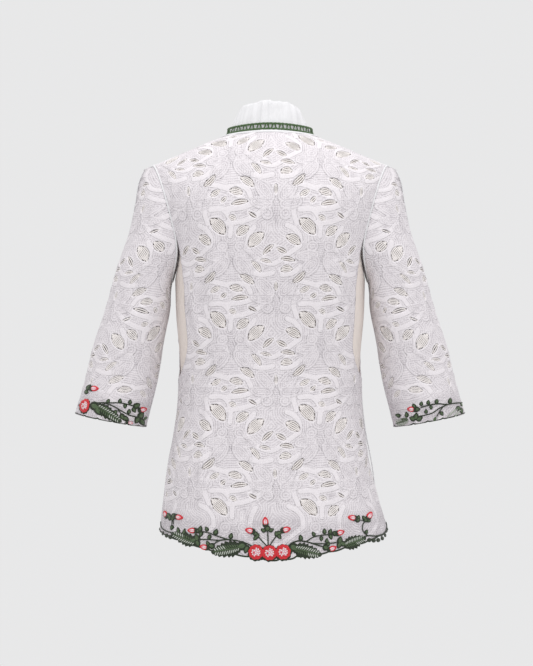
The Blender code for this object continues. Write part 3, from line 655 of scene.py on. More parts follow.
@dataclass
class BodyForm:
    """The body under the cloth, and the patterns of its panels."""

    roundness: float = 2.3
    yoke: float = -0.150
    shoulder_slope: float = 0.42
    shoulder_high: float = 0.0310
    shoulder_soft: float = 0.020
    neck_half: float = 0.0755
    neck_rise: float = 0.005
    shoulder_tip: float = 0.199
    front_neck_drop: float = 0.075
    hem_side: float = -0.668
    hem_dip: float = 0.034
    strip_end: float = -0.415
    strip_top: float = -0.170
    arm_top: float = -0.0525
    arm_bottom: float = -0.250
    arm_half_depth: float = 0.062
    seam: float = 0.0001

    def section(self, height: Array, name: str) -> Array:
        """One measure of the body at a height."""
        return measure(SECTIONS, height, name)

    def curve(self, height: Array, side: Side, samples: int = 161) -> tuple[Array, Array, Array]:
        """A quarter of the body's outline at a height, from its middle to its side.

        Args:
            height: Where, one or many.
            side: Back or front.
            samples: How many points it has.

        Returns:
            X, y and the length so far, a row for each height.
        """
        turn = np.linspace(0, math.pi / 2, samples)
        half = self.section(height, "half_width")[..., None]
        deep = self.section(height, side.name.lower())[..., None]
        x = half * np.sin(turn) ** (2 / self.roundness)
        y = deep * np.abs(np.cos(turn)) ** (2 / self.roundness)
        run = np.hypot(np.diff(x, axis=-1), np.diff(y, axis=-1))
        length = np.concatenate([np.zeros_like(x[..., :1]), np.cumsum(run, axis=-1)], axis=-1)
        return x, y, length

    def shoulder(self, x: Array) -> Array:
        """How high the shoulder seam is."""
        return self.shoulder_high - self.shoulder_slope * np.sqrt(x**2 + self.shoulder_soft**2)

    def over(self, x: Array) -> Array:
        """How far the cloth runs from the yoke height up to the shoulder seam."""
        return 0.240 - 0.52 * np.sqrt(x**2 + self.shoulder_soft**2)

    def base(self, w: Array, h: Array, side: Side) -> Array:
        """The body's shape without folds.

        Args:
            w, h: Places across and up.
            side: Back or front.

        Returns:
            A point for each place.
        """
        x, y, length = self.curve(h, side)
        reach = np.abs(w)
        i = np.clip((length < reach[:, None]).sum(1), 1, length.shape[1] - 1)
        row = np.arange(len(w))
        low, high = length[row, i - 1], length[row, i]
        t = np.clip((reach - low) / np.maximum(high - low, 1e-12), 0, 1)
        px = x[row, i - 1] * (1 - t) + x[row, i] * t
        py = y[row, i - 1] * (1 - t) + y[row, i] * t
        lift = np.clip((h - self.yoke) / self.over(px), 0, 1) * math.pi / 2
        z = np.where(h <= self.yoke, h, self.yoke + (self.shoulder(px) - self.yoke) * np.sin(lift))
        px = np.sign(w) * px + self.section(h, "sway")
        return np.stack([px, side.value * py * np.cos(lift), z], axis=-1)

    def fold_rise(self, w: Array, h: Array, side: Side) -> Array:
        """How far the folds lift the cloth.

        Args:
            w, h: Places across and up.
            side: Back or front.

        Returns:
            Heights.
        """
        rise = np.zeros_like(w)
        for fold in FOLDS:
            if fold.side != side:
                continue
            t = np.clip((h - fold.bottom) / (fold.top - fold.bottom), -0.3, 1.3)
            middle = fold.across_bottom + (fold.across_top - fold.across_bottom) * t
            ends = np.clip((0.3 + t) / 0.4, 0, 1) * np.clip((1.3 - t) / 0.4, 0, 1)
            rise += fold.rise * ends * np.exp(-(((w - middle) / fold.width) ** 2))
        return rise

    def surface(self, side: Side, folds: bool = True, step: float = 0.005) -> Surface:
        """The cloth's surface.

        Args:
            side: Back or front.
            folds: Whether it has folds.
            step: How fine the grid it is read from is.

        Returns:
            A function that gives points and outward normals for flat places.
        """
        limit = 0.300
        low, high = np.array([-limit, -0.730]), np.array([limit, 0.110])
        lattice = Lattice(lambda w, h: self.base(w, h, side), low, high, step)

        def shape(w: Array, h: Array) -> Array:
            """The cloth's points.

            Args:
                w, h: Places across and up.

            Returns:
                A point for each place.
            """
            if not folds:
                return lattice.read(w, h)
            rise = self.fold_rise(w, h, side)[:, None]
            return lattice.read(w, h) + normals_of(lattice.read, w, h, -side.value) * rise

        def at(w: Array, h: Array) -> tuple[Array, Array]:
            """Points and normals."""
            return shape(w, h), normals_of(shape, w, h, -side.value)

        return at

    def quarter(self, h: float, side: Side) -> float:
        """The flat distance from the middle of a side to its side seam."""
        return float(self.curve(np.atleast_1d(h), side)[2][0, -1])

    def across(self, x: float, h: float, side: Side) -> float:
        """The place across the pattern of a point at x."""
        curve_x, _, length = self.curve(np.array([h]), side)
        return float(np.interp(x, curve_x[0], length[0]))

    def arm_ring(self, turn: float, side: Side) -> Place:
        """The armhole at an angle from its top (0) to its bottom (pi).

        Args:
            turn: The angle.
            side: Back or front.

        Returns:
            Its place on the pattern.
        """
        z = (self.arm_top + self.arm_bottom) / 2 + (self.arm_top - self.arm_bottom) / 2 * math.cos(turn)
        y = self.arm_half_depth * math.sin(turn)
        low, high = 0.10, 0.235
        for _ in range(50):
            x = (low + high) / 2
            h, deep = z, 1.0
            if z > self.yoke:
                share = (z - self.yoke) / max(float(self.shoulder(x)) - self.yoke, 1e-6)
                lift = math.asin(min(share, 1.0))
                h = self.yoke + float(self.over(x)) * lift * 2 / math.pi
                deep = math.cos(lift)
            ratio = min(x / float(self.section(h, "half_width")), 1.0)
            full = float(self.section(h, side.name.lower()))
            deep *= full * (1 - ratio**self.roundness) ** (1 / self.roundness)
            if deep > y:
                low = x
            else:
                high = x
        return self.across(x, h, side), h

    def neck_point(self, x: float, side: Side) -> Place:
        """The neck edge at x.

        Args:
            x: Where across.
            side: Back or front.

        Returns:
            Its place on the pattern.
        """
        away = abs(x) / self.neck_half
        height = float(self.shoulder(self.neck_half))
        height += self.neck_rise * (1 - away**2) if side == Side.BACK else 0.0
        height -= self.front_neck_drop * (1 - away**1.7) if side == Side.FRONT else 0.0
        level = (height - self.yoke) / (float(self.shoulder(x)) - self.yoke)
        h = self.yoke + float(self.over(x)) * math.asin(min(level, 1.0)) * 2 / math.pi
        return self.across(abs(x), h, side) * (1 if x >= 0 else -1), h

    def neck_edge(self, side: Side, steps: int) -> Loop:
        """Half of the neck edge, from the neck's side to its middle."""
        turns = np.linspace(0, math.pi / 2, steps + 1)
        return [self.neck_point(self.neck_half * math.cos(turn), side) for turn in turns]

    def hem(self, w: Array | float, side: Side) -> Array:
        """The hem's smooth line, lowest in the middle.

        Args:
            w: Places across.
            side: Back or front.

        Returns:
            Heights on the pattern.
        """
        half = self.quarter(self.hem_side, side)
        share = np.minimum(np.abs(w) / half, 1.0)
        return self.hem_side - self.hem_dip * np.cos(share * math.pi / 2) ** 2

    def lace_half(self, side: Side) -> Loop:
        """The pattern of half a lace panel, from the hem's middle round to the neck's middle.

        Args:
            side: Back or front.

        Returns:
            Its closed line.
        """
        widest = self.quarter(self.hem_side, side)
        strip = 0.023 if side == Side.BACK else 0.004
        points = []
        for along in np.arange(0.0, widest - 0.001, 0.003):
            points.append((float(along), float(self.hem(along, side)) - hem_drop(float(along))))
        for h in np.arange(self.hem_side - 0.001, self.arm_bottom - 0.006, 0.006):
            t = np.clip((h - self.strip_end) / 0.075, 0, 1)
            seen = float(self.section(np.atleast_1d(h), "half_width")[0]) - strip * t * (2 - t)
            edge = self.across(seen, float(h), side) if t > 0 else self.quarter(h, side)
            points.append((edge - self.seam, float(h)))
        points += self.upper_edge(side, points[-1][0], 32)
        return points

    def lining_half(self, side: Side) -> Loop:
        """The pattern of half a lining panel.

        Args:
            side: Back or front.

        Returns:
            Its closed line.
        """
        short = 0.032
        widest = self.quarter(self.hem_side, side)
        points = [(float(w), float(self.hem(w, side)) + short) for w in np.arange(0.0, widest - 0.004, 0.006)]
        for h in np.arange(self.hem_side + short, self.arm_bottom - 0.006, 0.008):
            points.append((self.quarter(h, side) - self.seam, float(h)))
        points += self.upper_edge(side, points[-1][0], 24)
        return points

    def upper_edge(self, side: Side, reach: float, steps: int) -> Loop:
        """The armhole, shoulder and neck edges of half a panel.

        Args:
            side: Back or front.
            reach: How far across the side edge ends.
            steps: How many steps the armhole takes.

        Returns:
            Their line.
        """
        arm = [self.arm_ring(turn, side) for turn in np.linspace(0, math.pi, steps + 1)]
        points = [(w - self.seam, h) for w, h in arm if w < reach - 0.003 or h > self.strip_top][::-1][:-1]
        for x in np.linspace(self.shoulder_tip - 0.0006, self.neck_half, 14)[:-1]:
            h = self.yoke + float(self.over(x))
            points.append((self.across(float(x), h, side), h - self.seam))
        points += [(w, h - self.seam) for w, h in self.neck_edge(side, 20)]
        return points


def hem_drop(along: float) -> float:
    """How far the hem's scallops hang under its smooth line.

    Args:
        along: The distance from the middle.

    Returns:
        The drop.
    """
    places = (0.0000, 0.0240, 0.0500, 0.0770, 0.1030, 0.1290, 0.1550, 0.1810, 0.2070, 0.2330, 0.2590)
    drops = (0.0055, 0.0040, 0.0015, 0.0020, 0.0020, 0.0015, 0.0020, 0.0015, 0.0020, 0.0020, 0.0020)
    best = 0.0
    for k, (place, drop) in enumerate(zip(places, drops)):
        half = 0.0120 if k < 2 else 0.0135
        share = (along - place) / half
        if abs(share) < 1:
            best = max(best, drop * math.cos(share * math.pi / 2) ** 0.7)
    return best


def whole(half: Loop) -> Loop:
    """A pattern that is cut on the fold, anticlockwise."""
    return [(max(w, 0.0), h) for w, h in half] + [(-w, h) for w, h in reversed(half) if w > 1e-6]


def front_outline(half: Loop, hand: Hand) -> Loop:
    """One front's pattern, with its straight edge a little off the centre line.

    Args:
        half: The front's half pattern.
        hand: Which front it is.

    Returns:
        Its closed line.
    """
    edge = 0.0003
    points = [(max(w, edge), h) for w, h in half]
    top, bottom = points[-1][1], points[0][1]
    count = round((top - bottom) / 0.010)
    points += [(edge, top + (bottom - top) * k / count) for k in range(1, count)]
    return points if hand == Hand.LEFT else [(-w, h) for w, h in reversed(points)]


@dataclass
class SleeveForm:
    """A sleeve's tube, from its scalloped cuff to the armhole."""

    body: BodyForm
    radius: float = 0.059
    outer: float = 0.452
    inner: float = 0.250
    gap: float = 0.0010
    rings: dict[Side, tuple[Array, Array]] = field(default_factory=dict)

    def __post_init__(self) -> None:
        """Works out the armhole in space."""
        turns = np.linspace(0, math.pi, 61)
        for side in Side:
            spots = np.array([self.body.arm_ring(turn, side) for turn in turns])
            self.rings[side] = (turns, self.body.base(spots[:, 0], spots[:, 1], side))

    def length(self, turn: Array) -> Array:
        """How long the sleeve is from cuff to armhole."""
        return (self.outer + self.inner) / 2 + (self.outer - self.inner) / 2 * np.cos(turn)

    def plane(self, turn: Array, along: Array) -> Array:
        """The sleeve's shape from its stations alone.

        Args:
            turn: Angles round it.
            along: How far down it, 0 to 1.

        Returns:
            Points.
        """
        outer, inner = (np.stack([measure(STATIONS, along, f"{line}_x"), np.zeros(len(turn)),
                                  measure(STATIONS, along, f"{line}_z")], axis=-1)
                        for line in ("outer", "inner"))
        points = (outer + inner) / 2 + (outer - inner) / 2 * np.cos(turn)[:, None]
        points[:, 1] += measure(STATIONS, along, "half_depth") * np.sin(turn)
        return points

    def shape(self, u: Array, v: Array) -> Array:
        """The sleeve's shape on the +X side.

        Args:
            u: Places round it, from its outer line.
            v: Places up from the cuff.

        Returns:
            Points.
        """
        turn = u / self.radius
        along = np.clip(1 - v / self.length(turn), -0.02, 1.05)
        points = self.plane(turn, along)
        ring = np.empty_like(points)
        for side, (turns, table) in self.rings.items():
            mine = (turn >= 0) == (side == Side.BACK)
            for axis in range(3):
                ring[mine, axis] = np.interp(np.abs(turn[mine]), turns, table[:, axis])
        ring[:, 0] += self.gap
        fade = np.clip(1 - along / 0.34, 0, 1) ** 2
        points = points + (ring - self.plane(turn, np.zeros_like(along))) * fade[:, None]
        wave = 0.0016 * np.sin(v * 46 + 2.2 * np.cos(turn)) * np.clip(along * 4, 0, 1)
        points[:, 0] += wave * np.cos(turn) * 0.7
        points[:, 1] += wave * np.sin(turn)
        return points

    def surface(self, hand: Hand) -> Surface:
        """The cloth's surface.

        Args:
            hand: Which sleeve.

        Returns:
            A function that gives points and outward normals for flat places.
        """

        def shape(u: Array, v: Array) -> Array:
            """Points on this hand's side."""
            return self.shape(u, v) * (hand.value, 1.0, 1.0)

        def at(u: Array, v: Array) -> tuple[Array, Array]:
            """Points and normals, with the normals level with the seams beside them.

            Args:
                u: Places round the sleeve.
                v: Places up from the cuff.

            Returns:
                A point and a normal for each place.
            """
            normals = normals_of(shape, u, v, hand.value)
            seam = np.minimum(np.abs(u), math.pi * self.radius - np.abs(u))
            normals[:, 1] *= np.clip(seam / 0.010, 0, 1)
            return shape(u, v), unit(normals)

        return at

    def outline(self, side: Side) -> Loop:
        """The pattern of the sleeve's back or front half, anticlockwise.

        Args:
            side: Which half.

        Returns:
            Its closed line.
        """
        seam = 0.0001
        half = math.pi * self.radius - seam
        us = np.linspace(seam, half, 76)
        loop = [(float(u), -cuff_drop(float(u), self.radius)) for u in us]
        loop += [(half, float(v)) for v in np.arange(0.006, self.inner - 0.004, 0.008)]
        loop += [(float(u), float(self.length(u / self.radius)) - seam) for u in us[::-1]]
        loop += [(seam, float(v)) for v in np.arange(self.outer - 0.006, 0.004, -0.008)]
        return loop if side == Side.BACK else [(-u, v) for u, v in reversed(loop)]


def cuff_drop(u: float, radius: float) -> float:
    """How far the cuff's scalloped edge hangs."""
    return 0.0035 * abs(math.sin(u / radius * 7.5)) ** 0.8


# ---------------------------------------------------------------- the lace's drawing


class Lens(NamedTuple):
    """An opening of the repeat, from the middle of its head-up butterfly. Millimetres and degrees."""

    across: float
    up: float
    length: float
    width: float
    angle: float
    bow: float

    @property
    def bars(self) -> int:
        """How many bars of the net run along it."""
        return max(round(self.width / BAR_PITCH) - 1, 1)


Cuts = Sequence[tuple[float, float, Lens]]

LENSES = (
    Lens(33.0, -54.0, 35.0, 19.0, -42.0, 1.5),
    Lens(55.0, -39.0, 25.0, 15.0, -35.0, 1.0),
    Lens(-28.0, -54.0, 28.0, 16.0, 30.0, 1.5),
    Lens(-51.0, -32.0, 36.0, 21.0, 45.0, 2.0),
    Lens(66.0, 19.0, 24.0, 12.0, 12.0, 1.5),
    Lens(60.0, 3.0, 29.0, 8.0, -8.0, 1.5),
    Lens(72.0, -18.0, 13.0, 9.0, 20.0, 0.0),
    Lens(39.0, -14.0, 16.0, 5.5, 30.0, 0.0),
    Lens(48.0, 34.0, 28.0, 12.0, 33.0, 1.5),
    Lens(33.0, 55.0, 25.0, 9.0, 50.0, 1.5),
    Lens(17.0, 64.0, 19.0, 6.5, 12.0, 1.0),
    Lens(-17.0, 50.0, 21.0, 12.0, -8.0, 2.0),
    Lens(-37.0, 38.0, 28.0, 11.0, -42.0, -1.5),
    Lens(-47.0, 18.0, 19.0, 9.0, -28.0, 0.0),
    Lens(-61.0, 8.0, 12.0, 7.0, -40.0, 0.0),
    Lens(0.5, 23.0, 15.0, 6.5, 90.0, 0.0),
    Lens(13.0, -70.0, 24.0, 8.5, -42.0, 1.0),
    Lens(-9.0, -71.0, 19.0, 8.5, 28.0, 0.0),
    Lens(-19.0, 66.0, 24.0, 8.0, 8.0, 2.0),
)


class Lobe(NamedTuple):
    """An oval of a butterfly's wing, mirrored. Millimetres."""

    across: float
    up: float
    half_length: float
    half_width: float
    angle: float


LOBES = (
    Lobe(19.0, 21.0, 21.0, 12.0, 48.0),
    Lobe(24.0, 3.0, 19.0, 9.0, 8.0),
    Lobe(15.0, -12.0, 10.0, 9.0, 20.0),
)


def turned(x: Array, y: Array, angle: float) -> tuple[Array, Array]:
    """Places seen from axes that are turned."""
    c, s = heading(angle)
    return c * x + s * y, -s * x + c * y


def lens_distance(x: Array, y: Array, lens: Lens) -> Array:
    """The signed distance to a lens about the origin, negative inside.

    Args:
        x, y: Places across and up.
        lens: Its size and tilt.

    Returns:
        Distances.
    """
    soft = 0.12 * lens.width
    x, y = turned(x, y, lens.angle)
    y = y - lens.bow * (1 - np.minimum((2 * x / lens.length) ** 2, 1.5))
    half, deep = lens.length / 2 - soft, lens.width / 2 - soft
    radius = (half**2 + deep**2) / (2 * deep)
    off = radius - deep
    a, b = np.abs(y), np.abs(x)
    tip = (b - half) * off > a * half
    return np.where(tip, np.hypot(a, b - half), np.hypot(a + off, b) - radius) - soft


def oval_distance(x: Array, y: Array, lobe: Lobe) -> Array:
    """The rough signed distance to an oval, negative inside.

    Args:
        x, y: Places across and up.
        lobe: The oval.

    Returns:
        Distances.
    """
    x, y = turned(x - lobe.across, y - lobe.up, lobe.angle)
    level = np.hypot(x / lobe.half_length, y / lobe.half_width)
    slope = np.hypot(x / lobe.half_length**2, y / lobe.half_width**2)
    return np.where(level < 1e-3, -lobe.half_width, level * (level - 1) / np.maximum(slope, 1e-6))


ARCS = (
    ((52, -66), (27, -87), (6, -93), (-18, -78), (-39, -63)),
    ((48, -66), (45, -48), (36, -33)),
    ((93, -27), (63, -25), (39, -18), (18, -6)),
    ((-39, -63), (-39, -48), (-30, -36), (-18, -30)),
    ((-72, -48), (-72, -21), (-60, -6), (-39, -6)),
    ((111, 15), (120, -6), (114, -27)),
    ((78, 27), (48, 24), (42, 12)),
    ((81, -6), (54, -3), (36, 3)),
    ((-24, 33), (-48, 30), (-69, 24)),
    ((-9, 42), (-27, 45), (-39, 54)),
    ((39, 45), (21, 42), (6, 45)),
)


class Reading(NamedTuple):
    """What the lace's drawing holds at each place: distances in metres."""

    gap: Array
    wing: Array
    body: Array
    band: Array


@dataclass
class RibbonTile:
    """One repeat of the distance to the smooth ribbons' middles, read over and over."""

    width: float
    height: float
    fine: float = 0.0008
    reach: float = 0.070

    def __post_init__(self) -> None:
        """Works out the repeat."""
        self.count = (round(self.width / self.fine), round(self.height / self.fine))
        x, y = np.meshgrid(np.arange(self.count[0]) * self.width / self.count[0],
                           np.arange(self.count[1]) * self.height / self.count[1], indexing="ij")
        self.table = np.full(x.shape, self.reach)
        for arc in ARCS:
            line = smooth_line(np.array(arc, float) * MILLIMETRE, 0.006, 3)
            for a, b in zip(line[:-1], line[1:]):
                d = b - a
                px = (x - a[0] + self.width / 2) % self.width - self.width / 2
                py = (y - a[1] + self.height / 2) % self.height - self.height / 2
                share = np.clip((px * d[0] + py * d[1]) / float(d @ d), 0, 1)
                self.table = np.minimum(self.table, np.hypot(px - share * d[0], py - share * d[1]))

    def read(self, x: Array, y: Array) -> Array:
        """Distances at places from a head-up butterfly.

        Args:
            x, y: Places across and up.

        Returns:
            Distances in metres.
        """
        u, v = x / self.width * self.count[0], y / self.height * self.count[1]
        i, j = np.floor(u).astype(int), np.floor(v).astype(int)
        s, t = u - i, v - j
        i0, i1 = i % self.count[0], (i + 1) % self.count[0]
        j0, j1 = j % self.count[1], (j + 1) % self.count[1]
        low = self.table[i0, j0] * (1 - s) + self.table[i1, j0] * s
        high = self.table[i0, j1] * (1 - s) + self.table[i1, j1] * s
        return low * (1 - t) + high * t


@dataclass
class LaceDrawing:
    """The repeat of butterflies, head up and head down in turn, and the openings between them.

    The repeat and its place are in metres, a butterfly's body in millimetres.
    """

    width: float
    height: float
    across: float
    up: float
    trunk_top: float = -2.0
    trunk_length: float = 24.0
    trunk_half: float = 4.4
    taper: float = 2.2
    head_up: float = 11.0
    head_half: float = 2.6
    chest_up: float = 3.0
    chest_half: float = 4.6
    tile: RibbonTile = field(init=False)

    def __post_init__(self) -> None:
        """Works out the ribbons."""
        self.tile = RibbonTile(self.width, self.height)

    def centres(self, low: Array, high: Array) -> list[tuple[float, float, int]]:
        """Every butterfly near an area.

        Args:
            low: The area's lowest corner.
            high: Its highest.

        Returns:
            Places and 1 for head up or -1 for head down.
        """
        found = []
        first = math.floor((low[0] - self.across) / self.width) - 1
        last = math.ceil((high[0] - self.across) / self.width) + 2
        under = math.floor((low[1] - self.up) / self.height) - 1
        over = math.ceil((high[1] - self.up) / self.height) + 2
        for i in range(first, last):
            for j in range(under, over):
                for flip in (1, -1):
                    x = self.across + (i + (flip < 0) / 2) * self.width
                    y = self.up + (j + (flip < 0) / 2) * self.height
                    found.append((x, y, flip))
        return found

    def openings(self, low: Array, high: Array) -> Cuts:
        """Every opening near an area, placed."""
        return [(x + lens.across * MILLIMETRE, y + lens.up * MILLIMETRE, lens)
                for x, y, flip in self.centres(low, high) if flip > 0 for lens in LENSES]

    def gap(self, w: Array, h: Array, cut: Cuts) -> Array:
        """The signed distance to the nearest opening.

        Args:
            w, h: Places across and up.
            cut: The openings that are there.

        Returns:
            Distances in metres, negative inside.
        """
        order = np.argsort(w, kind="stable")
        rows, ups = w[order], h[order]
        reach = 0.030
        gap = np.full(len(w), reach)
        for x, y, lens in cut:
            first, last = np.searchsorted(rows, (x - reach, x + reach))
            near = first + np.nonzero(np.abs(ups[first:last] - y) < reach)[0]
            if len(near):
                found = lens_distance((rows[near] - x) / MILLIMETRE, (ups[near] - y) / MILLIMETRE, lens)
                gap[near] = np.minimum(gap[near], found * MILLIMETRE)
        result = np.empty_like(gap)
        result[order] = gap
        return result

    def read(self, w: Array, h: Array, cut: Cuts) -> Reading:
        """Reads the drawing.

        Args:
            w, h: Places across and up.
            cut: The openings that are there.

        Returns:
            The distance to the nearest opening, wing and body.
        """
        far = 0.060
        gap = self.gap(w, h, cut)
        wing = np.full(len(w), far)
        body = np.full(len(w), far)
        spots = np.array([[w.min(), h.min()], [w.max(), h.max()]])
        for x, y, flip in self.centres(spots[0], spots[1]):
            near = np.nonzero((np.abs(w - x) < far) & (np.abs(h - y) < far))[0]
            if not len(near):
                continue
            a = np.abs(w[near] - x) / MILLIMETRE
            b = (h[near] - y) / MILLIMETRE * flip
            for lobe in LOBES:
                wing[near] = np.minimum(wing[near], oval_distance(a, b, lobe) * MILLIMETRE)
            level = np.clip((self.trunk_top - b) / self.trunk_length, 0, 1)
            trunk = np.hypot(a, b - self.trunk_top + self.trunk_length * level)
            trunk -= self.trunk_half - self.taper * level
            head = np.hypot(a, b - self.head_up) - self.head_half
            chest = np.hypot(a, b - self.chest_up) - self.chest_half
            found = np.minimum(np.minimum(trunk, head), chest) * MILLIMETRE
            body[near] = np.minimum(body[near], found)
        return Reading(gap, wing, body, self.tile.read(w - self.across, h - self.up))


# ---------------------------------------------------------------- meshes


class Sheet(NamedTuple):
    """A flat mesh: its places, its triangles, and numbers that each place carries."""

    flat: Array
    faces: Array
    values: dict[str, Array]
    rise: Array


def rim_band(points: Array, loop: Array, reach: float) -> tuple[Array, Array]:
    """The signed distance to a closed loop, negative inside, and the nearest place on it.

    Args:
        points: Places on a grid.
        loop: The loop.
        reach: How near is near.

    Returns:
        Distances, at most reach, and nearest places.
    """
    cells: dict[tuple[int, int], list[int]] = {}
    keys = np.floor(points / reach).astype(int)
    for k, key in enumerate(map(tuple, keys)):
        cells.setdefault(key, []).append(k)
    best = np.full(len(points), reach)
    spot = points.copy()
    inside = np.zeros(len(points), bool)
    for a, b in zip(loop, np.roll(loop, -1, axis=0)):
        crosses = (a[1] > points[:, 1]) != (b[1] > points[:, 1])
        slant = (b[0] - a[0]) * (points[:, 1] - a[1]) / ((b[1] - a[1]) or 1e-12) + a[0]
        inside ^= crosses & (points[:, 0] < slant)
        low = np.floor((np.minimum(a, b) - reach) / reach).astype(int)
        high = np.floor((np.maximum(a, b) + reach) / reach).astype(int)
        near = [k for i in range(low[0], high[0] + 1) for j in range(low[1], high[1] + 1)
                for k in cells.get((i, j), ())]
        if not near:
            continue
        near = np.array(near)
        d = b - a
        t = np.clip((points[near] - a) @ d / max(float(d @ d), 1e-15), 0, 1)
        foot = a + t[:, None] * d
        far = np.hypot(*(points[near] - foot).T)
        nearer = far < best[near]
        best[near[nearer]] = far[nearer]
        spot[near[nearer]] = foot[nearer]
    return np.where(inside, -best, best), spot


def lace_sheet(outline: Loop, drawing: LaceDrawing | None, cut: Cuts, step: float) -> Sheet:
    """A flat mesh with smooth openings and a smooth edge.

    Args:
        outline: The panel's closed line.
        drawing: The lace's drawing, or nothing for plain cloth.
        cut: The openings that are cut.
        step: The grid's spacing.

    Returns:
        The sheet.
    """
    line = np.array(outline)
    low, high = line.min(0) - step, line.max(0) + step
    w = np.arange(low[0], high[0] + step, step)
    h = np.arange(low[1], high[1] + step, step)
    grid_w, grid_h = np.meshgrid(w, h, indexing="ij")
    points = np.stack([grid_w.ravel(), grid_h.ravel()], axis=-1)
    rim, foot = rim_band(points, line, 6 * step)
    snap = (np.abs(rim) < 0.62 * step)
    points[snap] = foot[snap]
    rim[snap] = 0.0
    if drawing is not None:
        for _ in range(2):
            points = snapped(points, drawing, cut, step, snap)
    a, b, c, d = grid_corners(len(w), len(h))
    odd = (a // len(h) + a % len(h)) % 2 == 1
    one = np.where(odd[:, None], np.stack([a, b, d], 1), np.stack([a, b, c], 1))
    two = np.where(odd[:, None], np.stack([b, c, d], 1), np.stack([a, c, d], 1))
    faces = np.concatenate([one, two])
    middle = points[faces].mean(1)
    outer = rim[faces]
    keep = (outer.max(1) <= 1e-9) & (outer.mean(1) < -1e-6)
    if drawing is not None:
        keep &= drawing.gap(middle[:, 0], middle[:, 1], cut) > 0
    faces = faces[keep]
    first, second = points[faces[:, 1]] - points[faces[:, 0]], points[faces[:, 2]] - points[faces[:, 0]]
    area = first[:, 0] * second[:, 1] - first[:, 1] * second[:, 0]
    faces = faces[area > 0.01 * step**2]
    used, back = np.unique(faces, return_inverse=True)
    faces = back.reshape(-1, 3)
    points, rim = points[used], rim[used]
    values: dict[str, Array] = {"rim": -rim}
    rise = np.zeros(len(points))
    if drawing is not None:
        reading = drawing.read(points[:, 0], points[:, 1], cut)
        values |= reading._asdict()
        rise = lace_rise(reading)
    return Sheet(points, faces, values, rise)


def snapped(points: Array, drawing: LaceDrawing, cut: Cuts, step: float, fixed: Array) -> Array:
    """Places near an opening's edge, moved onto it.

    Args:
        points: Places.
        drawing: The lace's drawing.
        cut: The openings.
        step: The grid's spacing.
        fixed: Which places stay.

    Returns:
        The moved places.
    """
    e = 1e-4
    here = drawing.gap(points[:, 0], points[:, 1], cut)
    near = np.nonzero((np.abs(here) < 0.62 * step) & ~fixed)[0]
    w, h = points[near].T
    slope = np.stack([drawing.gap(w + e, h, cut) - drawing.gap(w - e, h, cut),
                      drawing.gap(w, h + e, cut) - drawing.gap(w, h - e, cut)], axis=-1) / (2 * e)
    size = np.maximum((slope**2).sum(1), 0.2)[:, None]
    moved = points.copy()
    moved[near] -= here[near, None] * slope / size
    return moved


def bump_line(distance: Array, place: float, width: float) -> Array:
    """A soft ridge along a contour of a distance."""
    return np.clip(1 - ((distance - place) / width) ** 2, 0, 1)


def lace_rise(reading: Reading) -> Array:
    """How far the lace's drawing rises from the net under it.

    Args:
        reading: The drawing's distances.

    Returns:
        Heights.
    """
    ribbon = np.clip((0.0042 - reading.band) / 0.0014, 0, 1)
    ribbon = np.maximum(ribbon, bump_line(reading.gap, 0.0014, 0.0016))
    wing = np.clip(-reading.wing / 0.0016, 0, 1)
    edge = bump_line(reading.wing, -0.0014, 0.0022)
    body = np.sqrt(np.clip(-reading.body / 0.0034, 0, 1))
    rise = 0.00055 * ribbon + 0.00045 * wing + 0.00035 * edge
    return np.maximum(rise, 0.0011 * body)


def closed_wall(outer: Array, inner: Array, faces: Array) -> tuple[Array, Array]:
    """A wall between two sheets with the same triangles, with its rims.

    Args:
        outer: The outer points.
        inner: The inner points.
        faces: The triangles.

    Returns:
        All points and triangles.
    """
    count = len(outer)
    edges = np.concatenate([faces[:, [0, 1]], faces[:, [1, 2]], faces[:, [2, 0]]])
    key = edges[:, 0].astype(np.int64) * count + edges[:, 1]
    twin = edges[:, 1].astype(np.int64) * count + edges[:, 0]
    rim = edges[~np.isin(key, twin)]
    a, b = rim[:, 0], rim[:, 1]
    sides = np.concatenate([np.stack([b, a, a + count], 1), np.stack([b, a + count, b + count], 1)])
    back = faces[:, ::-1] + count
    return np.concatenate([outer, inner]), np.concatenate([faces, back, sides])


def mesh_object(name: str, points: Array, faces: Array, finish: Material,
                flat: Array | None = None, values: dict[str, Array] | None = None) -> Piece:
    """A mesh object with flat coordinates and numbers at its points.

    Args:
        name: Its name.
        points: Its points.
        faces: Its triangles.
        finish: Its material.
        flat: Flat coordinates of each point, in metres.
        values: Numbers of each point by name.

    Returns:
        The object, linked to the scene.
    """
    mesh = bpy.data.meshes.new(name)
    mesh.vertices.add(len(points))
    mesh.vertices.foreach_set("co", np.asarray(points, np.float32).ravel())
    mesh.loops.add(len(faces) * 3)
    mesh.loops.foreach_set("vertex_index", np.asarray(faces, np.int32).ravel())
    mesh.polygons.add(len(faces))
    mesh.polygons.foreach_set("loop_start", np.arange(0, len(faces) * 3, 3, dtype=np.int32))
    mesh.update(calc_edges=True)
    if flat is not None:
        layer = mesh.uv_layers.new(name="flat")
        layer.data.foreach_set("uv", np.asarray(flat[np.asarray(faces).ravel()], np.float32).ravel())
    for key, numbers in (values or {}).items():
        attribute = mesh.attributes.new(key, "FLOAT", "POINT")
        attribute.data.foreach_set("value", np.asarray(numbers, np.float32))
    mesh.validate()
    mesh.materials.append(finish)
    mesh.shade_smooth()
    made = bpy.data.objects.new(name, mesh)
    bpy.context.scene.collection.objects.link(made)
    return made


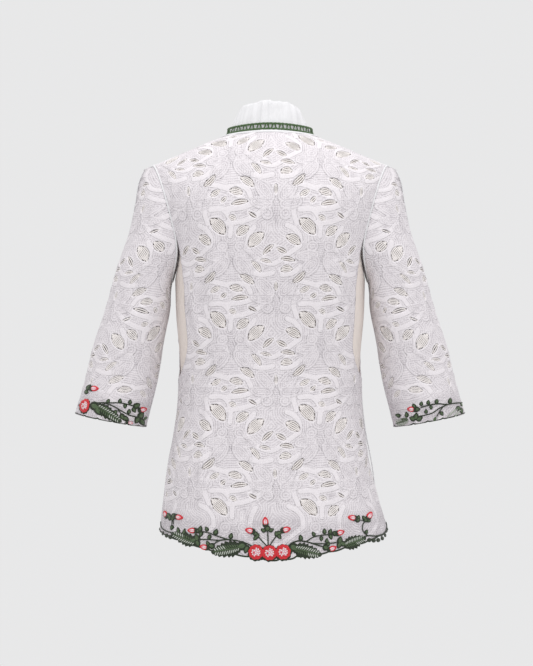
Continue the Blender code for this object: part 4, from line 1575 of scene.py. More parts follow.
def sheet_object(name: str, sheet: Sheet, surface: Surface, turned_over: bool, depth: Array, wall: float,
                 finish: Material) -> Piece:
    """A cloth wall laid on a surface.

    Args:
        name: Its name.
        sheet: The flat sheet.
        surface: The surface.
        turned_over: Whether the flat sheet's triangles face inwards on the surface.
        depth: How far in each point's outer face lies.
        wall: The wall.
        finish: The material.

    Returns:
        The object.
    """
    points, normals = surface(sheet.flat[:, 0], sheet.flat[:, 1])
    outer = points - normals * (depth - sheet.rise)[:, None]
    inner = points - normals * (depth + wall)[:, None]
    faces = sheet.faces[:, ::-1] if turned_over else sheet.faces
    solid, triangles = closed_wall(outer, inner, faces)
    flat = np.concatenate([sheet.flat, sheet.flat])
    values = {key: np.concatenate([numbers, numbers]) for key, numbers in sheet.values.items()}
    return mesh_object(name, solid, triangles, finish, flat, values)


class Batch:
    """Many small meshes that share one object."""

    def __init__(self) -> None:
        """Starts it empty."""
        self.points: list[Array] = []
        self.faces: list[Array] = []
        self.stitches: list[Array] = []
        self.count = 0

    def add(self, points: Array, faces: Array, stitches: Array) -> None:
        """Adds a mesh.

        Args:
            points: Its points.
            faces: Its triangles.
            stitches: The stitch coordinates of each point, in metres.
        """
        self.points.append(points)
        self.faces.append(np.asarray(faces) + self.count)
        self.stitches.append(stitches)
        self.count += len(points)

    def laid(self, points: Array, faces: Array) -> tuple[Array, Array]:
        """The points and triangles as the object has them."""
        return points, faces

    def make(self, name: str, finish: Material) -> Piece | None:
        """Makes the object.

        Args:
            name: Its name.
            finish: Its material.

        Returns:
            The object, or nothing if the batch is empty.
        """
        if not self.points:
            return None
        points, faces = self.laid(np.concatenate(self.points), np.concatenate(self.faces))
        return mesh_object(name, points, faces, finish, np.concatenate(self.stitches))


def tube(line: Array, one: Array, two: Array, corners: int) -> Array:
    """The rings of points of a tube."""
    turns = (2 * math.pi * np.arange(corners) / corners)[:, None]
    return (line[:, None] + one[:, None] * np.cos(turns) + two[:, None] * np.sin(turns)).reshape(-1, 3)


def tube_stitches(run: Array, corners: int, step: float) -> Array:
    """Stitch coordinates of a tube's points."""
    return np.stack([np.repeat(run, corners), np.tile(np.arange(corners) * step, len(run))], axis=-1)


def placed(x: Array, y: Array, angle: float, middle: Place) -> Array:
    """Flat places turned about the origin and moved."""
    c, s = heading(angle)
    return np.stack([middle[0] + c * x - s * y, middle[1] + s * x + c * y], axis=-1)


def tube_faces(rings: int, corners: int, closed: bool = False) -> Array:
    """The triangles of a tube through rings of points, capped unless it is closed.

    Args:
        rings: How many rings.
        corners: How many points each has.
        closed: Whether the last ring meets the first.

    Returns:
        Triangles.
    """
    faces = []
    last = rings if closed else rings - 1
    for k in range(last):
        for j in range(corners):
            a, b = k * corners + j, k * corners + (j + 1) % corners
            c, d = b + corners, a + corners
            if closed:
                c, d = c % (rings * corners), d % (rings * corners)
            faces += [(a, b, c), (a, c, d)]
    if not closed:
        top = (rings - 1) * corners
        for j in range(1, corners - 1):
            faces += [(0, j + 1, j), (top, top + j, top + j + 1)]
    return np.array(faces)


class LaidCords(Batch):
    """Cords, bars and raised shapes on a surface: flat places (across, up) and a height over it."""

    def __init__(self, surface: Surface, turned_over: bool) -> None:
        """Starts it empty.

        Args:
            surface: The surface.
            turned_over: Whether the flat sheet's triangles face inwards on the surface.
        """
        super().__init__()
        self.surface = surface
        self.turned_over = turned_over

    def laid(self, points: Array, faces: Array) -> tuple[Array, Array]:
        """The points and triangles as they lie on the surface."""
        spots, normals = self.surface(points[:, 0], points[:, 1])
        return spots + normals * points[:, 2:], faces[:, ::-1] if self.turned_over else faces

    def cord(self, line: Array, half_width: Array, low: float, high: float, corners: int = 6) -> None:
        """Adds a cord along a line.

        Args:
            line: Flat places along it.
            half_width: Half its width at each place.
            low: How high its underside is.
            high: How high its top is.
            corners: How many corners its section has.
        """
        run = unit(np.gradient(line, axis=0))
        across = np.stack([-run[:, 1], run[:, 0]], axis=-1)
        turns = 2 * math.pi * np.arange(corners) / corners
        flat = line[:, None] + across[:, None] * (half_width[:, None] * np.cos(turns))[..., None]
        height = (low + high) / 2 + (high - low) / 2 * np.sin(turns)
        places = np.column_stack([flat.reshape(-1, 2), np.tile(height, len(line))])
        stitches = tube_stitches(lengths_along(line), corners, 0.0006)
        self.add(places, tube_faces(len(line), corners)[:, ::-1], stitches)


# ---------------------------------------------------------------- pieces


def hand_in(piece: Piece, slot: str, nodes: Sequence[str] = ()) -> None:
    """Attaches a piece to the root body and hides the nodes that it stands for.

    Args:
        piece: The piece.
        slot: Not used.
        nodes: The nodes that it replaces.
    """
    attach(piece, "root")
    if nodes:
        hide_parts(*nodes)
    log.info("%s: %d triangles", piece.name, len(piece.data.polygons))


def declare_cloth(rests_on: Sequence[str]) -> None:
    """Takes what a sheet of cloth rests on and does nothing with it.

    Args:
        rests_on: What it rests on.
    """
    list(rests_on)


@dataclass
class LacePanel:
    """One cut piece of lace, with the net that fills its openings."""

    node: str
    outline: Loop
    surface: Surface
    turned_over: bool
    drawing: LaceDrawing
    clear: Callable[[Array, Array], Array]
    rests_on: Sequence[str]
    wall: float = 0.0012
    step: float = 0.0024
    edge_clear: float = 0.0050
    bar_half: float = 0.00108

    def cut(self) -> Cuts:
        """The openings that lie inside the panel, clear of its edge and of the flower border.

        Returns:
            Their middles and shapes.
        """
        line = np.array(self.outline)
        found = self.drawing.openings(line.min(0), line.max(0))
        turns = np.linspace(0, 2 * math.pi, 12, endpoint=False)
        c, s = MILLIMETRE / 2 * np.cos(turns), MILLIMETRE / 2 * np.sin(turns)
        spots = np.concatenate([placed(lens.length * c, lens.width * s, lens.angle, (x, y))
                                for x, y, lens in found])
        far, _ = rim_band(spots, line, 0.02)
        good = (far < -self.edge_clear) & (self.clear(spots[:, 0], spots[:, 1]) > 0)
        return [row for row, fits in zip(found, good.reshape(len(found), -1).all(1)) if fits]

    def net(self, cut: Cuts, finish: Material) -> Piece:
        """The fine bars that cross each opening along its length.

        Args:
            cut: The openings.
            finish: The material.

        Returns:
            The object.
        """
        cords = LaidCords(self.surface, self.turned_over)
        for x, y, lens in cut:
            for k in range(lens.bars):
                share = (k + 0.6) / (lens.bars + 0.2) * 2 - 1
                reach = lens.length / 2 * math.sqrt(max(1 - abs(share) ** 1.3, 0.05)) + 1.0
                a = np.linspace(-reach, reach, 7)
                fall = 1 - np.minimum((2 * a / lens.length) ** 2, 1.2)
                b = share * lens.width / 2 * np.maximum(fall, 0) ** 0.6 + lens.bow * fall
                line = placed(a * MILLIMETRE, b * MILLIMETRE, lens.angle, (x, y))
                cords.cord(line, np.full(len(a), self.bar_half), -0.0007, 0.0001, 4)
        return cords.make(f"{self.node}_net", finish)

    def build(self, lace: Material, thread: Material,
              parts: Sequence[Piece] = ()) -> Piece:
        """Builds the panel and its net.

        Args:
            lace: The lace's material.
            thread: The net's material.
            parts: Pieces of embroidery that are sewn on it.

        Returns:
            The panel.
        """
        cut = self.cut()
        sheet = lace_sheet(self.outline, self.drawing, cut, self.step)
        still = np.zeros(len(sheet.flat))
        # calm lowers the relief near the flower border and sets where the lace's material paints shade there.
        calm = np.clip(self.clear(sheet.flat[:, 0], sheet.flat[:, 1]) / 0.02 + 1, 0.15, 1)
        sheet = sheet._replace(rise=sheet.rise * calm, values=sheet.values | {"calm": calm})
        panel = sheet_object(f"{self.node}_cloth", sheet, self.surface, self.turned_over, still,
                             self.wall, lace)
        hand_in(panel, "lace", [self.node])
        net = self.net(cut, thread)
        extra = list(parts)
        if net is not None:
            hand_in(net, "lace")
            extra.append(net)
        declare_cloth(self.rests_on)
        log.info("%s: %d openings", self.node, len(cut))
        return panel


@dataclass
class LiningPanel:
    """One cut piece of the plain lining."""

    node: str
    outline: Loop
    surface: Surface
    side: Side
    neck: Loop
    wall: float = 0.0010
    deep: float = 0.0050
    neck_deep: float = 0.0020
    step: float = 0.0060

    def build(self, cloth: Material) -> Piece:
        """Builds the panel.

        Args:
            cloth: Its material.

        Returns:
            The panel.
        """
        sheet = lace_sheet(self.outline, None, (), self.step)
        near = np.full(len(sheet.flat), np.inf)
        for a, b in self.neck:
            near = np.minimum(near, np.hypot(sheet.flat[:, 0] - a, sheet.flat[:, 1] - b))
        depth = self.neck_deep + (self.deep - self.neck_deep) * np.clip(near / 0.03, 0, 1)
        turned_over = self.side == Side.BACK
        panel = sheet_object(f"{self.node}_cloth", sheet, self.surface, turned_over, depth, self.wall, cloth)
        hand_in(panel, "lining", [self.node])
        declare_cloth([])
        return panel


@dataclass
class NeckLine:
    """The neck edge in space, from the right front round the back to the left front."""

    body: BodyForm
    end_gap: float = 0.0030

    def ring(self) -> Array:
        """The neck edge as a rough line.

        Returns:
            Its points.
        """
        parts = []
        for side, edge in ((Side.FRONT, self.body.neck_edge(Side.FRONT, 14)[::-1]),
                           (Side.BACK, self.body.neck_edge(Side.BACK, 14)[1:])):
            spots = np.array(edge)
            parts.append(self.body.base(spots[:, 0], spots[:, 1], side))
        half = np.concatenate(parts)
        return np.concatenate([half[:-1] * MIRRORED, half[::-1]])

    def dense(self, count: int) -> tuple[Array, Array, Array, Array, float]:
        """The neck edge read at even places, short of the centre front.

        Args:
            count: How many places.

        Returns:
            Points, upward and outward directions, shares of the length, and the length.
        """
        ring = self.ring()
        run = lengths_along(ring)
        rough = np.linspace(self.end_gap, run[-1] - self.end_gap, 56)
        points = np.stack([np.interp(rough, run, ring[:, k]) for k in range(3)], axis=-1)
        for _ in range(2):
            points[1:-1] = (points[:-2] + 2 * points[1:-1] + points[2:]) / 4
        places = np.linspace(rough[0], rough[-1], count)
        points = np.stack([smooth(places, rough, points[:, k]) for k in range(3)], axis=-1)
        tangent = unit(np.gradient(points, axis=0))
        up = unit(np.array([0.0, 0.0, 1.0]) - tangent * tangent[:, 2:3])
        out = unit(np.cross(up, tangent))
        return points, up, out, places / run[-1], float(rough[-1] - rough[0])


@dataclass
class Collar:
    """The gathered stand collar inside the crochet band."""

    line: NeckLine
    high: float = 0.0515
    front_high: float = 0.022
    wall: float = 0.0012
    inwards: float = 0.0032
    lean: float = 0.30
    side_lean: float = 0.40
    gathers: int = 28
    fullness: float = 1.35

    def build(self, cloth: Material) -> Piece:
        """Builds the collar.

        Args:
            cloth: Its material.

        Returns:
            The collar.
        """
        count, levels = self.gathers * 16 + 1, 15
        points, up, out, place, length = self.line.dense(count)
        k = (np.arange(count) - (count - 1) / 2) / 4
        back = np.sin(math.pi * place) ** 1.7
        lean = self.lean * (1 + self.side_lean * out[:, 0] ** 2)
        tall = self.front_high + (self.high - self.front_high) * back
        tall = tall + 0.0012 * np.sin(k * 0.55) * back + 0.0007 * np.sin(k * 1.31 + 1.0) * back
        ripple = np.cos(math.pi * k / 2 + 0.9 * np.sin(k * 0.23) + 0.5 * np.sin(k * 0.61))
        fine = np.cos(math.pi * k * 1.07 + 1.3 * np.sin(k * 0.31))
        grid = []
        for j in range(levels):
            level = j / (levels - 1)
            s = 0.0006 + tall * level
            swell = 0.00100 * (1 + 0.5 * level) * ripple * (0.55 + 0.45 * np.sin(k * 0.37))
            swell = swell + 0.00035 * fine * (1 - 0.5 * level)
            swell = swell + 0.0006 * np.sin(level * 9 + k * 0.4) * level
            roll = 0.0012 * np.clip((level - 0.86) / 0.14, 0, 1) ** 2
            off = self.inwards + lean * s + 0.010 * out[:, 0] ** 2 * level**4 - swell + roll
            grid.append(points + up * s[:, None] - out * off[:, None])
        outer = np.stack(grid, axis=1).reshape(-1, 3)
        inner = outer - np.repeat(out, levels, axis=0) * self.wall
        a, b, c, d = grid_corners(count, levels)
        faces = np.concatenate([np.stack([a, c, b], 1), np.stack([a, d, c], 1)])
        solid, triangles = closed_wall(outer, inner, faces)
        flat_x = np.repeat(place * length * self.fullness, levels)
        flat_y = np.tile(np.linspace(0, self.high, levels), count)
        flat = np.stack([flat_x, flat_y], axis=-1)
        collar = mesh_object("collar_cloth", solid, triangles, cloth, np.concatenate([flat, flat]))
        hand_in(collar, "collar_cotton", ["collar"])
        return collar


# ---------------------------------------------------------------- the flower border


class Rosette(NamedTuple):
    """A round flower: its middle and radius, in the border drawing's units."""

    x: float
    y: float
    radius: float


class Bud(NamedTuple):
    """A rosebud: its middle, the way its tip points, and its length."""

    x: float
    y: float
    angle: float
    length: float


class Leaf(NamedTuple):
    """A leaf: its middle, the way its tip points, its length and width."""

    x: float
    y: float
    angle: float
    length: float
    width: float


class Vine(NamedTuple):
    """A stem along a row of places, and its half width in millimetres."""

    places: tuple[Place, ...]
    half: float


@dataclass(frozen=True)
class Spray:
    """A part of the border: flowers, buds, big leaves, small leaves, beads and stems."""

    rosettes: tuple[Rosette, ...]
    buds: tuple[Bud, ...]
    leaves: tuple[Leaf, ...]
    sprigs: tuple[Leaf, ...]
    beads: tuple[Rosette, ...]
    vines: tuple[Vine, ...]


HEM_SPRAY = Spray(
    rosettes=(Rosette(-10.4, 0.2, 7.7), Rosette(16.8, 0.4, 7.7), Rosette(3.1, -0.4, 7.7)),
    buds=(
        Bud(-1.0, 31.0, 95, 9.0), Bud(-17.0, 21.8, 165, 9.0), Bud(20.0, 22.8, 15, 9.0),
        Bud(-74.5, 21.8, 178, 8.5), Bud(-62.5, 5.2, 168, 8.5), Bud(-101.0, 38.5, 125, 8.0),
        Bud(-87.0, 35.0, -10, 8.0), Bud(66.2, 3.9, 25, 8.5), Bud(74.0, 19.8, 18, 8.5),
        Bud(85.3, 34.6, 170, 8.5), Bud(103.0, 37.0, 60, 8.5),
    ),
    leaves=(
        Leaf(-40.0, 2.6, 190, 31, 14.0), Leaf(-82.5, 14.0, 158, 28, 11.0),
        Leaf(41.0, 0.8, -14, 30, 13.0), Leaf(88.5, 10.6, 20, 24, 11.5),
    ),
    sprigs=(
        Leaf(1.0, 24.0, 90, 7.0, 7.0), Leaf(-3.2, 22.0, 150, 6.0, 4.2), Leaf(5.0, 22.2, 30, 6.0, 4.2),
        Leaf(-11.5, 18.8, 160, 7.0, 5.0), Leaf(-8.8, 16.5, 60, 6.0, 4.4), Leaf(-11.0, 14.2, 230, 6.0, 4.4),
        Leaf(13.0, 19.4, 20, 7.0, 5.0), Leaf(10.0, 18.5, 110, 6.0, 4.4), Leaf(13.0, 15.6, -50, 6.0, 4.4),
        Leaf(-25.0, 6.2, 200, 11.0, 9.5), Leaf(-20.0, 3.0, 250, 9.0, 6.0), Leaf(27.5, 4.6, -30, 11.0, 9.5),
        Leaf(-35.4, 16.4, 75, 6.5, 4.6), Leaf(-50.4, 20.4, 70, 6.5, 5.4), Leaf(-57.0, 15.0, 250, 6.0, 4.2),
        Leaf(-59.6, 23.4, 120, 5.5, 4.0), Leaf(-66.0, 23.6, 80, 6.5, 4.6), Leaf(-65.4, 18.0, 250, 6.5, 4.6),
        Leaf(-70.0, 21.4, 180, 7.0, 5.4), Leaf(-55.0, 6.4, 170, 7.5, 6.4), Leaf(-58.5, 9.0, 120, 5.5, 4.0),
        Leaf(-69.5, 14.5, 110, 9.0, 6.4), Leaf(-73.0, 12.0, 200, 8.5, 6.0), Leaf(-68.5, 9.0, 290, 8.0, 5.6),
        Leaf(-97.8, 37.0, 130, 6.5, 5.0), Leaf(-96.4, 34.4, 270, 6.0, 4.4), Leaf(-91.6, 36.4, 0, 7.0, 5.6),
        Leaf(-93.4, 33.6, 250, 5.0, 3.8), Leaf(-94.4, 24.6, 250, 5.5, 4.0),
        Leaf(34.3, 14.6, 100, 6.5, 4.6), Leaf(47.1, 18.4, 120, 5.5, 4.0), Leaf(58.0, 21.0, 95, 6.0, 4.4),
        Leaf(54.9, 13.6, 270, 5.5, 4.0), Leaf(63.8, 20.8, 70, 6.0, 4.4), Leaf(64.3, 15.4, 290, 6.0, 4.4),
        Leaf(60.4, 11.6, 80, 5.5, 4.0), Leaf(69.0, 19.0, 15, 7.0, 5.6), Leaf(59.6, 4.6, -20, 7.5, 6.4),
        Leaf(62.0, 8.4, 60, 5.0, 3.8), Leaf(73.5, 12.0, 80, 8.5, 6.0), Leaf(76.6, 8.4, -20, 8.5, 6.0),
        Leaf(72.6, 7.0, 250, 7.5, 5.4), Leaf(90.4, 32.4, 160, 6.5, 5.0), Leaf(92.0, 35.0, 80, 5.0, 3.8),
        Leaf(99.6, 33.2, 60, 7.0, 5.4), Leaf(97.2, 34.6, 120, 5.0, 3.8), Leaf(102.0, 31.6, -10, 5.0, 3.8),
        Leaf(99.9, 20.6, 60, 5.0, 3.8), Leaf(-88.0, 22.0, 100, 7.0, 3.6), Leaf(-82.0, 20.6, 80, 7.0, 3.6),
    ),
    beads=(
        Rosette(-103.2, 18.9, 2.1), Rosette(-99.6, 16.7, 2.2), Rosette(-95.8, 15.2, 2.2),
        Rosette(102.7, 12.2, 2.2), Rosette(107.1, 11.8, 2.2), Rosette(111.6, 12.2, 2.2),
        Rosette(115.6, 14.0, 2.2), Rosette(118.3, 17.2, 2.2),
    ),
    vines=(
        Vine(((-14.0, 6.0), (-20.0, 9.0), (-26.6, 11.0), (-34.3, 12.4), (-42.1, 12.6), (-48.8, 10.9),
              (-53.0, 7.6)), 0.95),
        Vine(((-38.0, 12.8), (-44.0, 14.6), (-50.0, 16.6), (-58.8, 19.8), (-68.0, 21.2)), 0.85),
        Vine(((-47.0, 11.8), (-56.0, 12.6), (-68.0, 13.0)), 0.80),
        Vine(((1.2, 22.0), (1.6, 14.0), (1.8, 6.0)), 0.80),
        Vine(((-9.0, 17.0), (-4.5, 11.6), (0.4, 6.4)), 0.80),
        Vine(((11.0, 17.6), (6.4, 11.4), (3.0, 6.4)), 0.80),
        Vine(((-105.2, 30.5), (-104.6, 25.0), (-101.0, 21.8), (-96.6, 20.2), (-90.0, 18.0)), 0.85),
        Vine(((-94.3, 34.8), (-94.0, 30.0), (-94.5, 25.0)), 0.65),
        Vine(((-92.6, 34.8), (-92.8, 31.0), (-92.6, 28.0)), 0.45),
        Vine(((22.0, 6.4), (25.0, 9.0), (29.3, 10.9), (38.2, 11.0), (44.9, 9.2), (51.6, 7.0),
              (57.6, 5.4)), 0.95),
        Vine(((40.4, 11.2), (47.1, 15.3), (54.9, 17.0), (61.6, 17.7), (68.0, 18.8)), 0.85),
        Vine(((46.5, 8.9), (59.3, 8.7), (70.0, 9.8)), 0.80),
        Vine(((119.2, 30.0), (120.0, 24.8), (117.2, 19.0), (110.4, 16.4), (100.4, 16.4), (95.0, 14.4)), 0.95),
        Vine(((101.0, 16.8), (97.4, 19.6), (95.8, 23.0), (95.9, 27.0), (98.4, 31.0)), 0.80),
        Vine(((98.4, 30.8), (95.0, 32.0), (91.0, 32.4)), 0.60),
    ),
)

LEFT_CUFF = Spray(
    rosettes=(Rosette(1.4, 0.2, 7.2),),
    buds=(Bud(10.8, 17.4, 0, 8.5), Bud(59.0, -3.5, 10, 8.0), Bud(46.5, -16.8, -5, 7.5)),
    leaves=(Leaf(24.9, -7.6, -34, 31, 10.5),),
    sprigs=(
        Leaf(11.4, -0.6, -30, 12, 9), Leaf(14.0, -5.0, -60, 10, 7), Leaf(0.4, 17.7, 150, 6.0, 5.0),
        Leaf(4.9, 18.6, 60, 7.0, 5.0), Leaf(2.9, 13.9, -20, 6.5, 5.0), Leaf(24.3, 5.0, 60, 5.0, 3.8),
        Leaf(36.0, 5.1, 80, 5.0, 4.0), Leaf(46.0, 4.2, 80, 5.0, 4.0), Leaf(41.0, -0.2, 260, 5.0, 4.0),
        Leaf(52.7, 0.4, 30, 8.0, 6.0), Leaf(49.9, -4.0, -60, 6.0, 4.5), Leaf(22.7, -1.8, -20, 7.0, 3.6),
        Leaf(31.6, -6.2, 280, 5.0, 3.8), Leaf(44.9, -5.4, 70, 5.5, 4.2), Leaf(38.2, -10.7, 290, 7.0, 5.5),
        Leaf(41.6, -12.4, -20, 7.0, 5.5), Leaf(40.4, -18.0, 200, 6.0, 5.0), Leaf(57.0, -9.0, 60, 9.0, 6.5),
        Leaf(61.0, -12.0, 20, 8.5, 6.0), Leaf(58.0, -16.0, -60, 8.5, 6.0), Leaf(53.0, -14.0, 240, 8.0, 6.0),
    ),
    beads=(),
    vines=(
        Vine(((8.2, 3.2), (24.9, 3.2), (39.3, 2.7), (48.2, 0.4), (55.4, -1.8)), 0.90),
        Vine(((19.3, 3.2), (28.2, 0.4), (36.0, -4.0), (43.8, -8.4), (53.0, -11.2)), 0.80),
        Vine(((33.8, -3.8), (37.7, -8.4), (40.4, -12.9)), 0.70),
        Vine(((-1.4, 14.3), (-4.0, 11.8), (-4.4, 7.0)), 0.60),
    ),
)

RIGHT_CUFF = Spray(
    rosettes=(),
    buds=(Bud(-29.0, 0.9, 178, 8.0), Bud(-11.2, -13.2, 190, 8.5)),
    leaves=(Leaf(12.5, -4.6, 39, 22, 9.5), Leaf(-37.5, -11.6, 195, 19, 11.0)),
    sprigs=(
        Leaf(9.9, 9.2, 80, 6.0, 4.4), Leaf(-3.4, 8.6, 70, 5.0, 4.2), Leaf(-11.8, 7.7, 80, 5.0, 4.0),
        Leaf(-18.7, 6.4, 80, 5.0, 4.0), Leaf(-9.0, 2.4, 280, 4.5, 3.4), Leaf(-14.0, -1.4, 90, 5.0, 3.8),
        Leaf(-26.0, 4.0, 120, 6.0, 4.5), Leaf(-23.4, 0.7, 0, 8.0, 6.0), Leaf(1.6, -3.6, 300, 5.0, 4.0),
        Leaf(-5.1, -8.8, 60, 7.0, 5.5), Leaf(-4.0, -12.0, 290, 7.0, 5.0), Leaf(-24.0, -6.5, 80, 8.0, 6.0),
        Leaf(-20.5, -8.5, 30, 7.5, 5.5), Leaf(-27.5, -8.5, 160, 7.0, 5.5), Leaf(-25.5, -12.5, 250, 7.5, 5.5),
        Leaf(-21.0, -12.0, -50, 7.5, 5.5), Leaf(20.5, 5.6, 120, 7.0, 5.5), Leaf(22.5, 2.0, 30, 7.0, 5.5),
        Leaf(21.0, -1.0, 290, 7.5, 5.5), Leaf(17.6, 1.5, 200, 7.0, 5.0), Leaf(-33.4, -4.6, 100, 6.0, 4.0),
        Leaf(-42.0, -5.4, 160, 6.0, 4.0),
    ),
    beads=(),
    vines=(
        Vine(((22.0, 7.2), (14.9, 6.8), (6.0, 5.6), (-1.8, 6.2), (-10.7, 4.9), (-19.4, 2.6)), 0.90),
        Vine(((8.2, 5.7), (-0.7, 1.8), (-7.3, -2.7), (-14.0, -4.9), (-21.0, -6.2)), 0.80),
        Vine(((2.7, 3.0), (-0.7, -1.6), (-3.4, -6.6)), 0.70),
        Vine(((-3.2, -13.2), (3.8, -12.7), (8.0, -10.4)), 0.60),
    ),
)


class Stitched(NamedTuple):
    """A small raised shape: places on the drawing, heights, triangles, stitch coordinates and its motif."""

    places: Array
    heights: Array
    faces: Array
    stitches: Array
    motif: int


@dataclass
class Lantern:
    """Finds where an upright drawing, held behind the wearer, falls on the flat pattern."""

    surface: Surface
    start: Place
    low: Place
    high: Place
    origin: Place
    unit: float = DRAWN_UNIT
    eye: Spot = EYE

    def fall(self, flat: Array) -> Array:
        """Where flat places stand on the drawing, in metres.

        Args:
            flat: Flat places.

        Returns:
            Places to the right and up.
        """
        points = self.surface(flat[:, 0], flat[:, 1])[0]
        scale = self.eye[1] / (self.eye[1] - points[:, 1])
        return np.stack([(self.eye[0] - points[:, 0]) * scale, (points[:, 2] - self.eye[2]) * scale], axis=-1)

    def flat(self, drawn: Array) -> tuple[Array, Array, bool]:
        """Flat places of drawn ones.

        Args:
            drawn: Places on the drawing.

        Returns:
            Flat places, which of them were reached, and whether the pattern is mirrored.
        """
        target = np.array(self.origin) + np.asarray(drawn) * self.unit
        spots = np.tile(np.array(self.start), (len(target), 1))
        e = 5e-4
        for _ in range(14):
            here = self.fall(spots)
            a = (self.fall(spots + (e, 0.0)) - here) / e
            b = (self.fall(spots + (0.0, e)) - here) / e
            turn = a[:, 0] * b[:, 1] - a[:, 1] * b[:, 0]
            turn = np.sign(turn) * np.maximum(np.abs(turn), 0.12)
            off = target - here
            move = np.stack([off[:, 0] * b[:, 1] - off[:, 1] * b[:, 0],
                             a[:, 0] * off[:, 1] - a[:, 1] * off[:, 0]], axis=-1) / turn[:, None]
            spots = np.clip(spots + np.clip(move, -0.03, 0.03), self.low, self.high)
        reached = np.linalg.norm(self.fall(spots) - target, axis=1) < 0.6 * self.unit
        return spots, reached, bool(np.median(turn) < 0)


def ring_line(count: int, length: float, width: float, point: float, teeth: int = 0) -> Array:
    """An oval outline with a pointed end and teeth, about the origin, its tip on +x.

    Args:
        count: How many places it has.
        length: Its length.
        width: Its width.
        point: How pointed its tip is.
        teeth: How many teeth it has.

    Returns:
        Its places, anticlockwise.
    """
    t = 2 * math.pi * np.arange(count) / count
    phase = np.where(t < math.pi, -t, t) * teeth / (2 * math.pi)
    tooth = 1 + (0.42 * (phase % 1.0) - 0.14 if teeth else 0.0)
    sine = np.sin(t)
    x = length / 2 * np.cos(t)
    y = width / 2 * np.sign(sine) * np.abs(sine) ** (1 + 0.5 * point) * (1 - point * np.cos(t)) * tooth
    return np.stack([x, y], axis=-1)


